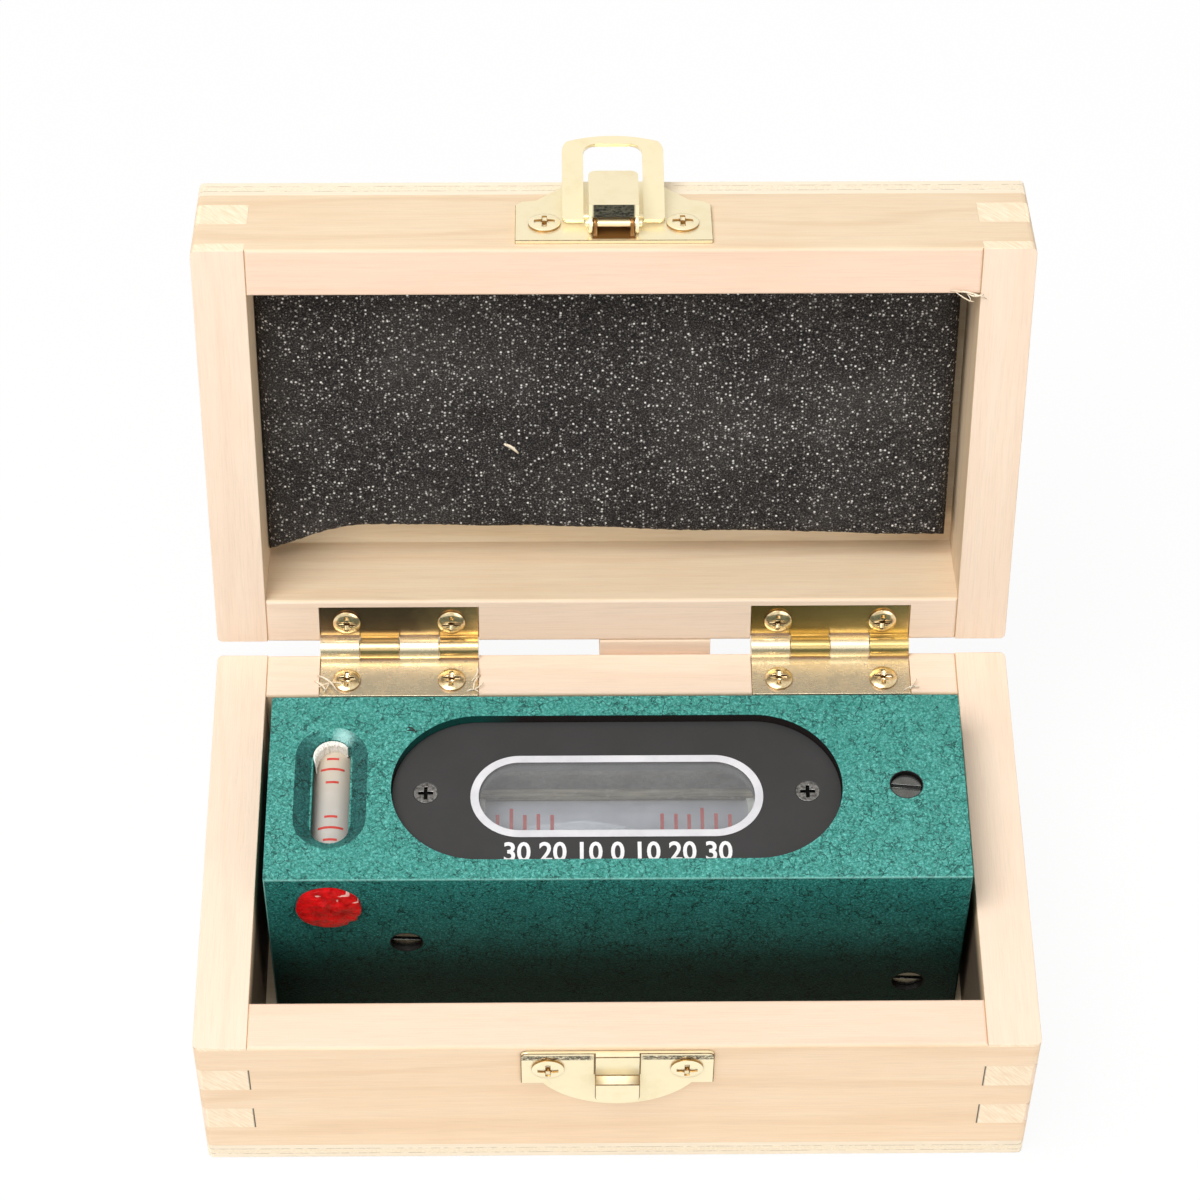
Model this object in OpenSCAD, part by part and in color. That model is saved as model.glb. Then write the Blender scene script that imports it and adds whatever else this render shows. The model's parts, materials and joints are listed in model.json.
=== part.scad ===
// A small machine level kept in its own hinged wooden case.
// Millimetres. The origin is the middle of the tray's underside, X runs along
// the level, Y from the front of the case to its hinges, Z up.
// Lid pieces are drawn on the shut case and then swung open about the hinge pins.

/* [Case] */
// Width of the case, front to back
case_w = 68.5; // [66:0.5:80]
// Height of the tray, ply bottom included
tray_h = 30; // [28:0.5:34]
// Height of the lid, ply top included
lid_h = 18.4; // [17:0.2:24]
// Thickness of the solid wood walls
wall_t = 7.5; // [7:0.25:8.5]
// Room left at each end of the level
end_room = 1.5; // [1:0.1:6]
// Thickness of the plywood bottom and top
ply_t = 3.5; // [3:0.25:5]
// Width of one finger of the corner joints
finger_h = 5.2; // [4.6:0.1:6]
// How much of a side finger the saw cut left on the tray's rim
tray_sliver = 0.6; // [0.4:0.1:1.5]
// How much of a side finger the saw cut left on the lid's rim
lid_sliver = 1.9; // [0.6:0.1:3]
// Angle between the shut lid and the lid against its stop
lid_open = 105; // [102:1:112]
// Thickness of the foam in the lid
foam_t = 6; // [4:0.5:6.5]
// Bare strip between the foam and the lid's back wall
foam_back_gap = 4.5; // [0.5:0.5:8]
// Bare strip between the foam and the lid's right wall
foam_right_gap = 1.5; // [0.3:0.1:4]
// Width of the wooden stop block behind the lid
stop_w = 16.6; // [10:0.2:24]
// Height of the stop block
stop_h = 9; // [6:0.5:14]
// Middle of the stop block, right of the case's middle
stop_x = 6.5; // [-10:0.5:10]

/* [Hinges] */
// Distance of a hinge's middle from the end of the case
hinge_inset = 26.8; // [24:0.2:31]
// Middle of the pair of hinges, right of the case's middle
hinge_x = 0.45; // [-1:0.05:1]
// Length of a hinge along its pin
hinge_l = 23.6; // [20:0.2:26]
// Outer radius of the knuckles
knuckle_r = 1.65; // [1.5:0.05:1.9]
// Radius of the hinge pin
hinge_pin_r = 0.8; // [0.6:0.05:0.9]
// Thickness of the leaves
leaf_t = 0.75; // [0.5:0.05:0.8]
// Reach of the lid's leaves from the pin
lid_leaf_w = 7; // [6.4:0.1:7.4]
// Distance of the pin behind the case's back face
hinge_back = 0.75; // [0.6:0.05:1]
// Half of the gap between the two rims when the case is shut
rim_half_gap = 0.65; // [0.6:0.05:0.9]
// Distance of the tray's hinge screws from the pin
tray_screw_off = 5.5; // [5:0.1:5.8]
// Distance of the lid's hinge screws from the pin
lid_screw_off = 4.2; // [4:0.1:4.6]
// Distance between the two screws of a leaf
leaf_screw_span = 15.6; // [13:0.2:17]
// Radius of the hinge screws' heads
hinge_head_r = 2.05; // [1.6:0.05:2.1]
// How far the hinge screws' heads stand above the leaf
hinge_head_h = 0.75; // [0.4:0.05:0.75]

/* [Latch] */
// Width of the hasp plate on the lid
hasp_w = 27.6; // [25:0.2:30]
// Height of the hasp plate
hasp_h = 16; // [15:0.1:16.4]
// Distance of the hasp plate from the lid's rim
hasp_rim_gap = 1.5; // [0.8:0.1:2]
// Thickness of the pressed brass
brass_t = 0.6; // [0.4:0.05:0.7]
// Outer width of the lever's channel
lever_w = 7; // [6:0.1:8]
// Length of the lever beyond its pin
lever_l = 9.1; // [8.5:0.1:10.5]
// Height of the lever's top above the lid's face
lever_top = 5.3; // [5:0.1:5.6]
// Radius of the corners at the lever's far end
lever_corner = 1.2; // [0.8:0.1:1.6]
// Thickness of the lever's metal
lever_t = 0.5; // [0.4:0.05:0.6]
// Place of the lever's pin above the lid's rim
lever_pin_c = 3.4; // [3.2:0.1:4]
// Distance of the lever's pin from the lid's face
lever_pin_o = 2.2; // [2.1:0.05:2.4]
// Radius of the lever's pin
lever_pin_r = 0.5; // [0.4:0.05:0.55]
// Distance from the lever's pin to the loop's studs
loop_arm = 2.8; // [2.6:0.1:3.2]
// Distance of the loop's studs from the lid's face
loop_o = 1.5; // [1.5:0.05:1.6]
// Length of the loop from its studs to its tip
loop_l = 15.7; // [15.3:0.1:15.9]
// Angle between the open loop and the lid's face
loop_tilt = 15; // [10:1:25]
// Outer width of the loop
loop_w = 14.4; // [14:0.1:15]
// Width of the loop's arms
loop_arm_w = 3; // [2.6:0.1:3]
// Width of the loop's cross bar
loop_bar_w = 1.6; // [1.4:0.1:1.8]
// Radius of the loop's outer corners
loop_corner = 3; // [2:0.1:3.6]
// Radius of the loop's inner corners
loop_inner_corner = 1.8; // [1:0.1:2.4]
// Thickness of the loop
loop_t = 0.6; // [0.5:0.05:0.85]
// Radius of the loop's studs
loop_stud_r = 0.4; // [0.3:0.05:0.45]
// Width of the catch plate on the tray
catch_w = 27; // [25:0.2:30]
// Height of the catch plate's ends
catch_end_h = 7.8; // [7:0.1:9]
// Height of the catch plate at its middle
catch_mid_h = 13.5; // [12.5:0.1:14.5]
// Distance of the catch plate from the tray's rim
catch_rim_gap = 0.9; // [0.7:0.1:1.4]
// Width of the hook tongue
tongue_w = 6.3; // [5:0.1:7]
// Length of the tongue's flat root
tongue_root = 4.7; // [4:0.1:4.9]
// Distance of the tongue's free end from the tray's rim
tongue_end = 10.6; // [9.8:0.1:11.6]
// Radius of the corners at the tongue's free end
tongue_corner = 1.5; // [0.8:0.1:2]
// Radius of the catch plate's upper corners
catch_corner = 0.9; // [0.4:0.1:1.5]
// Radius of the latch screws' heads
latch_head_r = 2.3; // [1.8:0.05:2.4]
// Height of the latch screws' heads
latch_head_h = 0.6; // [0.5:0.05:1.1]
// Distance between the two screws of a latch plate
latch_screw_span = 19.4; // [19.2:0.1:20.4]

/* [Level] */
// Length of the level
level_l = 100; // [98:0.5:100.5]
// Width of the level
level_w = 32; // [30:0.5:36]
// Height of the level
level_h = 35; // [34:0.25:36]
// Radius of the level's upright edges
level_edge_r = 0.4; // [0.2:0.1:2.5]
// Place of the level's middle, right of the case's middle
level_x = 0.3; // [-0.5:0.1:0.7]
// Place of the level's middle, behind the case's middle
level_y = 4; // [0:0.25:5]
// Width of the groove in the base
groove_w = 14; // [8:0.5:16]
// Angle between the faces of the groove
groove_angle = 120; // [110:5:140]
// Length of the cover
cover_l = 64.6; // [62:0.2:66]
// Width of the cover
cover_w = 25; // [23:0.2:26]
// Thickness of the cover
cover_t = 2; // [1.6:0.1:2.4]
// Depth of the cover's face below the level's top
cover_drop = 1.5; // [0.8:0.1:1.8]
// Distance between the cover's two screws
cover_screw_span = 54.8; // [54:0.2:56]
// Length of the window's bezel
window_l = 42; // [36:0.5:44]
// Width of the window's bezel
window_w = 14.2; // [12:0.1:15]
// Width of the bezel's rim
bezel_t = 1.2; // [0.8:0.1:1.6]
// Place of the window's middle, behind the cover's middle
window_y = -0.75; // [-1.5:0.05:1.5]
// Length of the opening under the cover
window_hole_l = 49; // [48:0.1:49.4]
// Width of the opening under the cover
window_hole_w = 17; // [16:0.2:18]

/* [Vials] */
// Depth of the main vial's axis below the level's top
vial_drop = 12; // [11.8:0.1:13]
// Outer radius of the main vial's glass
vial_r = 4.8; // [4.2:0.1:5]
// Wall of the main vial's glass
vial_wall = 0.9; // [0.7:0.1:1]
// Length of the main vial's glass
vial_l = 44; // [40:0.5:44.4]
// Outer radius of the carrier's tube
carrier_r = 6.5; // [6.2:0.1:6.6]
// Length of the main bubble
bubble_l = 18; // [12:1:22]
// Radius of the main bubble
bubble_r = 1.4; // [1:0.1:1.5]
// Travel of the main bubble to each side
bubble_travel = 6; // [4:0.5:6]
// Distance of the cross vial's axis from the level's left end
cross_inset = 9; // [8.5:0.1:9.2]
// Depth of the cross vial's axis below the level's top
cross_drop = 6.5; // [6.4:0.1:7.5]
// Outer radius of the cross vial's glass
cross_r = 3.4; // [3:0.1:3.6]
// Wall of the cross vial's glass
cross_wall = 0.8; // [0.5:0.1:0.9]
// Radius of the bore that holds the cross vial in its plaster
cross_bore_r = 4.3; // [4:0.1:4.5]
// Length of the pocket over the cross vial
pocket_l = 21.2; // [19.5:0.1:22]
// Width of the pocket over the cross vial
pocket_w = 10.4; // [9:0.1:11]
// Depth of the pocket over the cross vial
pocket_d = 1.4; // [1:0.1:1.9]
// Width of the slot in the pocket's floor
slot_w = 5.4; // [4:0.1:6]
// Length of the slot in the pocket's floor
slot_l = 18.1; // [15:0.1:18.4]

/* [Level screws] */
// Distance of the carrier's pivot screw from the level's left end
pivot_inset = 19.7; // [19.6:0.1:20]
// Depth of the pivot screw below the level's top
pivot_drop = 16; // [15:0.1:17]
// Distance of the adjusting screw from the level's right end
adjust_inset = 8.5; // [8.2:0.1:10]
// Radius of the adjusting screw's head
adjust_head_r = 2.25; // [2:0.05:2.5]
// Radius of the shanks of the level's screws
shank_r = 1.5; // [1.2:0.05:1.6]
// Distance of the lock screw from the level's right end
lock_inset = 7.4; // [6.8:0.1:9]
// Depth of the lock screw below the level's top
lock_drop = 27.2; // [26.5:0.1:28]
// Radius of the heads on the level's front face
front_head_r = 2.25; // [1.8:0.05:2.4]
// How deep the slotted heads lie below the level's faces
head_drop = 0.7; // [0.2:0.1:1]
// Radius of the wax seal on the front face
seal_r = 4.85; // [4.6:0.05:5.2]

/* [Hidden] */
$fn = 48;

// Running clearance round a pin or shank, and the slack round a part dropped in its seat
run = 0.05;
slack = 0.1;
eps = 0.01;

// The case is as long as the level with its room and the two end walls
case_l = level_l + 2 * (end_room + wall_t);
hinge_span = case_l - 2 * hinge_inset;
half_l = case_l / 2;
half_w = case_w / 2;
finger_pitch = 2 * finger_h;
pin_y = half_w + hinge_back;
pin_z = tray_h + rim_half_gap;
lid_z = tray_h + 2 * rim_half_gap;
mortise_d = knuckle_r - rim_half_gap;
tray_leaf_w = wall_t + hinge_back;
knuckle_gap = 0.1;
knuckle_l = (hinge_l - 3 * knuckle_gap) / 4;
wood_shank_r = 0.9;
hinge_shank_l = 8;
latch_shank_l = 6;
slot_cut = 0.8;

// The block's lower corner meets the tray's back face when the lid is fully open
stop_t = hinge_back - (hinge_back + rim_half_gap * sin(lid_open) - run) / cos(lid_open);

front_y = -half_w;
ear_half = 0.75;
ear_t = 0.6;
// The lever's lip starts this far before its pin and ends this far above the ears
lip_lead = 0.2;
lip_clear = 0.35;
lever_wall_low = lever_pin_o - 1.35;
loop_z = lid_z + lever_pin_c + loop_arm;
loop_end = 0.75;
loop_foot_corner = 0.6;
loop_arch_r = 20;
hasp_screw_c = 5.9;
// The hasp plate's shoulders: their depth below its top, and where its narrow part begins
hasp_shoulder = 5.1;
hasp_neck_in = 8.4;
hasp_neck_out = 7.2;
hasp_flat = 3;
hasp_corner = 0.9;
hasp_corner_drop = 1.3;
hasp_top_corner = 0.8;
catch_screw_drop = 4.6;
tongue_step = 0.2;
tongue_out = loop_o + loop_t / 2 + 0.3;

top_wall = 9.2;
cross_x = cross_inset - level_l / 2;
pivot_x = pivot_inset - level_l / 2;
adjust_x = level_l / 2 - adjust_inset;
lock_x = level_l / 2 - lock_inset;
// The carrier reaches this far past its pivot and past the adjusting screw
lug_reach = 4.4;
end_clearance = 1.3;
cavity_x0 = pivot_x - lug_reach - end_clearance;
cavity_x1 = adjust_x + lug_reach + end_clearance;
cavity_half_w = 9.5;
window_hole_r = 3;
cavity_top = level_h - top_wall;
cavity_low = 11;
seat_z = level_h - cover_drop - cover_t;
cover_thread_r = 1.2;
cover_head_r = 1.75;
vial_z = level_h - vial_drop;
pivot_z = level_h - pivot_drop;
lock_z = level_h - lock_drop;
cross_z = level_h - cross_drop;
head_t = 2;
pivot_seat = 2;
adjust_low = 5.4;
tube_bore_r = vial_r + 0.25;
plug_l = 1.5;
tube_half_l = vial_l / 2 + plug_l;
slot_end = 1.6;
ring_t = 0.8;
ring_w = 1.2;
lug_drop = 3.5;
cover_thread_l = 3;
cover_recess_w = 0.5;
cover_recess_d = 0.6;
pocket_floor = 0.25;
// Room for the carrier's tilt below the top wall and below the ring
tilt_room = 0.4;
channel_z = bubble_r + 0.8;
cross_half_l = 10.5;
cross_plug = 1.4;
cross_bubble_l = 7;
cross_bubble_r = 1.1;
cross_travel = 2.5;
cross_channel_z = cross_bubble_r + 0.3;
seal_proud = 0.9;

// Shared shapes

module box(x0, x1, y0, y1, z0, z1) {
    translate([x0, y0, z0]) cube([x1 - x0, y1 - y0, z1 - z0]);
}

// A flat stadium of the given overall length and width
module stadium(l, w) {
    square([l - w, w], center = true);
    for (side = [-1, 1]) translate([side * (l - w) / 2, 0]) circle(d = w);
}

module rounded_rectangle(l, w, r) {
    square([l - 2 * r, w], center = true);
    square([l, w - 2 * r], center = true);
    for (sx = [-1, 1], sy = [-1, 1])
        translate([sx * (l / 2 - r), sy * (w / 2 - r)]) circle(r);
}

// Cylinder lying along X or Y
module along_x(r, x0, x1) {
    translate([x0, 0, 0]) rotate([0, 90, 0]) cylinder(r = r, h = x1 - x0);
}

module along_y(r, y0, y1) {
    translate([0, y0, 0]) rotate([-90, 0, 0]) cylinder(r = r, h = y1 - y0);
}

// A bubble or the channel it runs in: a rod with round ends, along X
module capsule(r, l) {
    along_x(r, -l / 2 + r, l / 2 - r);
    for (side = [-1, 1]) translate([side * (l / 2 - r), 0, 0]) sphere(r);
}

// Swings a piece that is drawn on the shut lid to the open place
module open_lid() {
    translate([0, pin_y, pin_z]) rotate([-lid_open, 0, 0]) translate([0, -pin_y, -pin_z]) children();
}

// Puts a piece drawn on the level's own base into the tray
module on_level() {
    translate([level_x, level_y, ply_t]) children();
}

// Screw with a domed head and a cross recess, its head's underside at the origin and its shank down
module cross_screw(head_r, head_h, shank_l) {
    dome_h = head_h / 2;
    dome_r = (head_r * head_r + dome_h * dome_h) / (2 * dome_h);
    difference() {
        union() {
            intersection() {
                cylinder(r = head_r, h = head_h);
                translate([0, 0, head_h - dome_r]) sphere(dome_r, $fn = 144);
            }
            translate([0, 0, -shank_l]) cylinder(r = wood_shank_r, h = shank_l + eps);
        }
        for (turn = [0, 90]) rotate([0, 0, turn])
            translate([0, 0, head_h]) cube([head_r * 1.25, head_r * 0.3, head_h * 1.3], center = true);
        translate([0, 0, -wood_shank_r / 2]) cylinder(r = head_r * 0.24, h = wood_shank_r + head_h);
    }
}

// Finger joints: the stretches of a corner post that belong to the side walls, rooted eps deep in them
module finger_bands(z_first, count, z0, z1) {
    for (sx = [-1, 1], sy = [-1, 1], i = [0 : count - 1]) {
        low = max(z_first + i * finger_pitch, z0);
        high = min(z_first + i * finger_pitch + finger_h, z1);
        if (high > low)
            translate([sx * (half_l - wall_t / 2), sy * (half_w - (wall_t + eps) / 2), (low + high) / 2])
                cube([wall_t, wall_t + eps, high - low], center = true);
    }
}

module tray_bands() {
    steps = ceil(tray_h / finger_pitch);
    finger_bands(tray_h - tray_sliver - steps * finger_pitch, steps + 1, ply_t, tray_h);
}

module lid_bands() {
    finger_bands(lid_z + lid_sliver - finger_h, ceil(lid_h / finger_pitch) + 1, lid_z, lid_z + lid_h - ply_t);
}

// A wall along X, front (-1) or back (1), with the side fingers taken out
module long_wall(side, z0, z1) {
    difference() {
        translate([0, side * (half_w - wall_t / 2), (z0 + z1) / 2])
            cube([case_l, wall_t, z1 - z0], center = true);
        children();
    }
}

// A wall along Y, left (-1) or right (1), with its own fingers
module short_wall(side, z0, z1) {
    translate([side * (half_l - wall_t / 2), 0, (z0 + z1) / 2])
        cube([wall_t, case_w - 2 * wall_t, z1 - z0], center = true);
    intersection() {
        translate([side * half_l / 2, 0, (z0 + z1) / 2]) cube([half_l, case_w, z1 - z0], center = true);
        children();
    }
}

// Hinge pieces, drawn round one hinge at its own middle and on the shut case

module for_hinges() {
    for (side = [-1, 1]) translate([hinge_x + side * hinge_span / 2, 0, 0]) children();
}

module for_leaf_screws() {
    for_hinges() for (side = [-1, 1]) translate([side * leaf_screw_span / 2, 0, 0]) children();
}

function knuckle_x(i) = -hinge_l / 2 + i * (knuckle_l + knuckle_gap);

// Knuckles 0 and 2 are the tray's, 1 and 3 the lid's. up is -1 for the tray and 1 for the lid
module hinge_leaf(first, reach, screw_off, up, bore_r) {
    plate_far = up > 0 ? knuckle_r - leaf_t : -knuckle_r;
    translate([0, pin_y, pin_z]) difference() {
        union() {
            difference() {
                box(-hinge_l / 2, hinge_l / 2, -reach, 0, plate_far, plate_far + leaf_t);
                for (i = [1 - first, 3 - first])
                    box(knuckle_x(i) - knuckle_gap, knuckle_x(i) + knuckle_l + knuckle_gap,
                        -knuckle_r - 2 * run, knuckle_r, -2 * knuckle_r, 2 * knuckle_r);
            }
            for (i = [first, first + 2])
                translate([knuckle_x(i), 0, 0]) along_x(knuckle_r, 0, knuckle_l);
        }
        along_x(bore_r, -hinge_l, hinge_l);
        for (side = [-1, 1]) translate([side * leaf_screw_span / 2, -screw_off, -2 * knuckle_r])
            cylinder(r = wood_shank_r, h = 4 * knuckle_r);
    }
}

module tray_leaf() { color("#c9a35a") hinge_leaf(0, tray_leaf_w, tray_screw_off, -1, hinge_pin_r); }
module lid_leaf() { color("#c9a35a") hinge_leaf(1, lid_leaf_w, lid_screw_off, 1, hinge_pin_r + run); }

module hinge_mortise(reach, z0, z1) {
    for_hinges() box(-hinge_l / 2 - slack, hinge_l / 2 + slack, pin_y - reach, pin_y + 1, z0, z1);
}

// Case, the tray

module tray_wall_screws() {
    for_leaf_screws() translate([0, pin_y - tray_screw_off, tray_h - mortise_d - hinge_shank_l])
        cylinder(r = wood_shank_r, h = hinge_shank_l + 1);
}

module tray_front_wall() {
    color("#f5dcb8") difference() {
        long_wall(-1, ply_t, tray_h) tray_bands();
        latch_shanks(tray_h - catch_screw_drop);
    }
}

module tray_back_wall() {
    color("#f5dcb8") difference() {
        long_wall(1, ply_t, tray_h) tray_bands();
        hinge_mortise(tray_leaf_w + eps, tray_h - mortise_d, tray_h + 1);
        tray_wall_screws();
    }
}

module tray_left_wall() { color("#f5dcb8") short_wall(-1, ply_t, tray_h) tray_bands(); }
module tray_right_wall() { color("#f5dcb8") short_wall(1, ply_t, tray_h) tray_bands(); }
module tray_bottom() { color("#efe0c4") box(-half_l, half_l, -half_w, half_w, 0, ply_t); }
module tray_leaf_left() { translate([hinge_x - hinge_span / 2, 0, 0]) tray_leaf(); }
module tray_leaf_right() { translate([hinge_x + hinge_span / 2, 0, 0]) tray_leaf(); }

module hinge_pins() {
    color("#a8823c") for_hinges() translate([0, pin_y, pin_z])
        along_x(hinge_pin_r, -hinge_l / 2, hinge_l / 2);
}

module tray_hinge_screws() {
    color("#d8b25e") for_leaf_screws()
        translate([0, pin_y - tray_screw_off, pin_z - knuckle_r + leaf_t])
            cross_screw(hinge_head_r, hinge_head_h, leaf_t + hinge_shank_l);
}

// Shanks of the two screws of a latch plate, in the front face at height z
module latch_shanks(z) {
    for (side = [-1, 1]) translate([side * latch_screw_span / 2, front_y, z])
        along_y(wood_shank_r, -brass_t - 1, latch_shank_l);
}

module latch_screws(z) {
    for (side = [-1, 1]) translate([side * latch_screw_span / 2, front_y - brass_t, z]) rotate([90, 0, 0])
        cross_screw(latch_head_r, latch_head_h, brass_t + latch_shank_l);
}

// Half outline of the catch plate's curved foot, from its end to its middle
foot_inset = 3;
foot_x = catch_w / 2 - foot_inset;
foot_sag = catch_mid_h - catch_end_h;
foot_r = (foot_x * foot_x + foot_sag * foot_sag) / (2 * foot_sag);
function foot_point(a) = [foot_r * sin(a), -catch_mid_h + foot_r * (1 - cos(a))];
foot_angle = asin(foot_x / foot_r);
foot_steps = 12;

// The tongue from the side: root on the plate, ledge, and the pad that the loop's bar slips behind
module tongue_profile() {
    pad_low = -tongue_end + catch_rim_gap;
    polygon([
        [-brass_t, 0],
        [-2 * brass_t, 0],
        [-2 * brass_t, -tongue_root],
        [-brass_t - tongue_out, -tongue_root - tongue_step],
        [-brass_t - tongue_out, pad_low],
        [-tongue_out, pad_low],
        [-tongue_out, -tongue_root - tongue_step - brass_t],
        [-brass_t, -tongue_root - brass_t]]);
}

module catch_plate() {
    color("#e6cf8a") translate([0, front_y, 0]) difference() {
        translate([0, 0, tray_h - catch_rim_gap]) {
            rotate([90, 0, 0]) linear_extrude(brass_t) intersection() {
                polygon(concat(
                    [[catch_w / 2, 0], [-catch_w / 2, 0], [-catch_w / 2, -catch_end_h]],
                    [for (i = [-foot_steps : foot_steps]) foot_point(foot_angle * i / foot_steps)],
                    [[catch_w / 2, -catch_end_h]]));
                translate([0, -catch_mid_h]) rounded_rectangle(catch_w, 2 * catch_mid_h, catch_corner);
            }
            intersection() {
                translate([-tongue_w / 2, 0, 0]) rotate([90, 0, 90]) linear_extrude(tongue_w)
                    tongue_profile();
                rotate([90, 0, 0]) linear_extrude(2 * brass_t + tongue_out)
                    rounded_rectangle(tongue_w, 2 * (tongue_end - catch_rim_gap), tongue_corner);
            }
        }
        translate([0, -front_y, 0]) latch_shanks(tray_h - catch_screw_drop);
    }
}

module catch_screws() { color("#e6cf8a") latch_screws(tray_h - catch_screw_drop); }

// Case, the lid

module lid_wall_screws() {
    for_leaf_screws() translate([0, pin_y - lid_screw_off, lid_z + mortise_d - 1])
        cylinder(r = wood_shank_r, h = hinge_shank_l + 1);
}

module lid_front_wall() {
    color("#f5dcb8") open_lid() difference() {
        long_wall(-1, lid_z, lid_z + lid_h - ply_t) lid_bands();
        latch_shanks(lid_z + hasp_screw_c);
    }
}

module lid_back_wall() {
    color("#f5dcb8") open_lid() difference() {
        long_wall(1, lid_z, lid_z + lid_h - ply_t) lid_bands();
        hinge_mortise(lid_leaf_w + slack, lid_z - 1, lid_z + mortise_d);
        lid_wall_screws();
    }
}

module lid_side_wall(side) {
    color("#f5dcb8") open_lid() short_wall(side, lid_z, lid_z + lid_h - ply_t) lid_bands();
}

module lid_left_wall() { lid_side_wall(-1); }
module lid_right_wall() { lid_side_wall(1); }

module lid_top_panel() {
    color("#efe0c4") open_lid()
        box(-half_l, half_l, -half_w, half_w, lid_z + lid_h - ply_t, lid_z + lid_h);
}

module lid_foam_pad() {
    top = lid_z + lid_h - ply_t;
    color("#2b2a2c") open_lid()
        box(-half_l + wall_t + slack, half_l - wall_t - foam_right_gap,
            -half_w + wall_t + slack, half_w - wall_t - foam_back_gap, top - foam_t, top);
}

module lid_stop_block() {
    color("#e0c49a") open_lid()
        box(stop_x - stop_w / 2, stop_x + stop_w / 2, half_w, half_w + stop_t, lid_z, lid_z + stop_h);
}

module lid_leaf_left() { open_lid() translate([hinge_x - hinge_span / 2, 0, 0]) lid_leaf(); }
module lid_leaf_right() { open_lid() translate([hinge_x + hinge_span / 2, 0, 0]) lid_leaf(); }

module lid_hinge_screws() {
    color("#d8b25e") open_lid() for_leaf_screws()
        translate([0, pin_y - lid_screw_off, pin_z + knuckle_r - leaf_t]) rotate([180, 0, 0])
            cross_screw(hinge_head_r, hinge_head_h, leaf_t + hinge_shank_l);
}

// Latch. Its pieces are drawn on the lid's front face: c is the height above the rim

// Places a shape at the lever's pin, with X along the pin, Y outward from the lid and Z up
module at_lever_pin() {
    translate([0, front_y - lever_pin_o, lid_z + lever_pin_c]) children();
}

module hasp_plate() {
    w = hasp_w / 2;
    low = hasp_rim_gap;
    high = hasp_rim_gap + hasp_h;
    shoulder = high - hasp_shoulder;
    color("#ecd795") open_lid() difference() {
        union() {
            translate([0, front_y, lid_z]) rotate([90, 0, 0]) linear_extrude(brass_t)
                for (side = [0, 1]) mirror([side, 0]) polygon([
                    [-eps, low], [w, low], [w, shoulder - hasp_corner_drop],
                    [w - hasp_corner, shoulder - hasp_corner_drop + hasp_corner], [w - hasp_flat, shoulder],
                    [w - hasp_neck_out, high - hasp_top_corner], [w - hasp_neck_in, high], [-eps, high]]);
            for (side = [-1, 1]) at_lever_pin()
                translate([side * (lever_w / 2 - lever_t - slack - ear_t / 2) - ear_t / 2, 0, 0]) {
                    along_x(ear_half, 0, ear_t);
                    box(0, ear_t, 0, lever_pin_o - brass_t + eps, -ear_half, ear_half);
                }
        }
        at_lever_pin() along_x(lever_pin_r, -lever_w, lever_w);
        latch_shanks(lid_z + hasp_screw_c);
    }
}

module hasp_screws() { color("#ecd795") open_lid() latch_screws(lid_z + hasp_screw_c); }

module lever_pin() {
    reach = lever_w / 2 + 0.45;
    color("#d8b25e") open_lid() at_lever_pin() along_x(lever_pin_r, -reach, reach);
}

// Flat outline of the lever: X across it, Y from before its pin to its far end
module lever_outline(inset) {
    w = lever_w - 2 * inset;
    far = lever_l - inset;
    translate([0, far / 2]) rounded_rectangle(w, far, lever_corner - inset);
    translate([-w / 2, -lip_lead - inset]) square([w, far / 2]);
}

// A raised cap open at its foot: top, two side walls with round noses, far wall and a lip at the pin
module latch_lever() {
    wall_out = lever_top - lever_pin_o;
    wall_in = lever_pin_o - lever_wall_low;
    lip_h = wall_out - ear_half - lip_clear;
    far_wall = lever_corner + lever_t;
    color("#ecd795") open_lid() at_lever_pin() difference() {
        union() {
            difference() {
                translate([0, wall_in, 0]) rotate([90, 0, 0]) linear_extrude(wall_in + wall_out)
                    difference() {
                        lever_outline(0);
                        lever_outline(lever_t);
                    }
                box(-lever_w, lever_w, 0, lever_top, lever_l - far_wall, lever_l + 1);
            }
            rotate([90, 0, 0]) translate([0, 0, wall_out - lever_t]) linear_extrude(lever_t) lever_outline(0);
            box(-lever_w / 2, lever_w / 2, -wall_out, -wall_out + lip_h, -lip_lead, -lip_lead + lever_t);
            for (side = [-1, 1]) translate([side * (lever_w - lever_t) / 2 - lever_t / 2, 0, 0])
                along_x(wall_in, 0, lever_t);
        }
        along_x(lever_pin_r + run, -lever_w, lever_w);
        translate([0, lever_pin_o - loop_o, loop_arm]) along_x(loop_stud_r + run, -lever_w, lever_w);
    }
}

// Flat outline of the loop: X across it, Y from its feet to its slightly arched tip
module loop_outline() {
    inner_l = loop_l - loop_bar_w;
    difference() {
        intersection() {
            union() {
                translate([0, loop_l / 2]) rounded_rectangle(loop_w, loop_l, loop_corner);
                translate([0, loop_l / 4 - loop_end / 2])
                    rounded_rectangle(loop_w, loop_l / 2 + loop_end, loop_foot_corner);
            }
            translate([0, loop_l - loop_arch_r]) circle(loop_arch_r);
        }
        rounded_rectangle(loop_w - 2 * loop_arm_w, 2 * inner_l, loop_inner_corner);
    }
}

module latch_loop() {
    inner = loop_w / 2 - loop_arm_w;
    stud_in = lever_w / 2 - lever_t - slack;
    color("#f0dda0") open_lid() translate([0, front_y - loop_o, loop_z]) rotate([loop_tilt, 0, 0]) {
        rotate([90, 0, 0]) translate([0, 0, -loop_t / 2]) linear_extrude(loop_t) loop_outline();
        for (side = [-1, 1]) translate([side * (stud_in + inner) / 2 - (inner - stud_in) / 2 - eps, 0, 0])
            along_x(loop_stud_r, 0, inner - stud_in + 2 * eps);
    }
}

// The level

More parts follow.
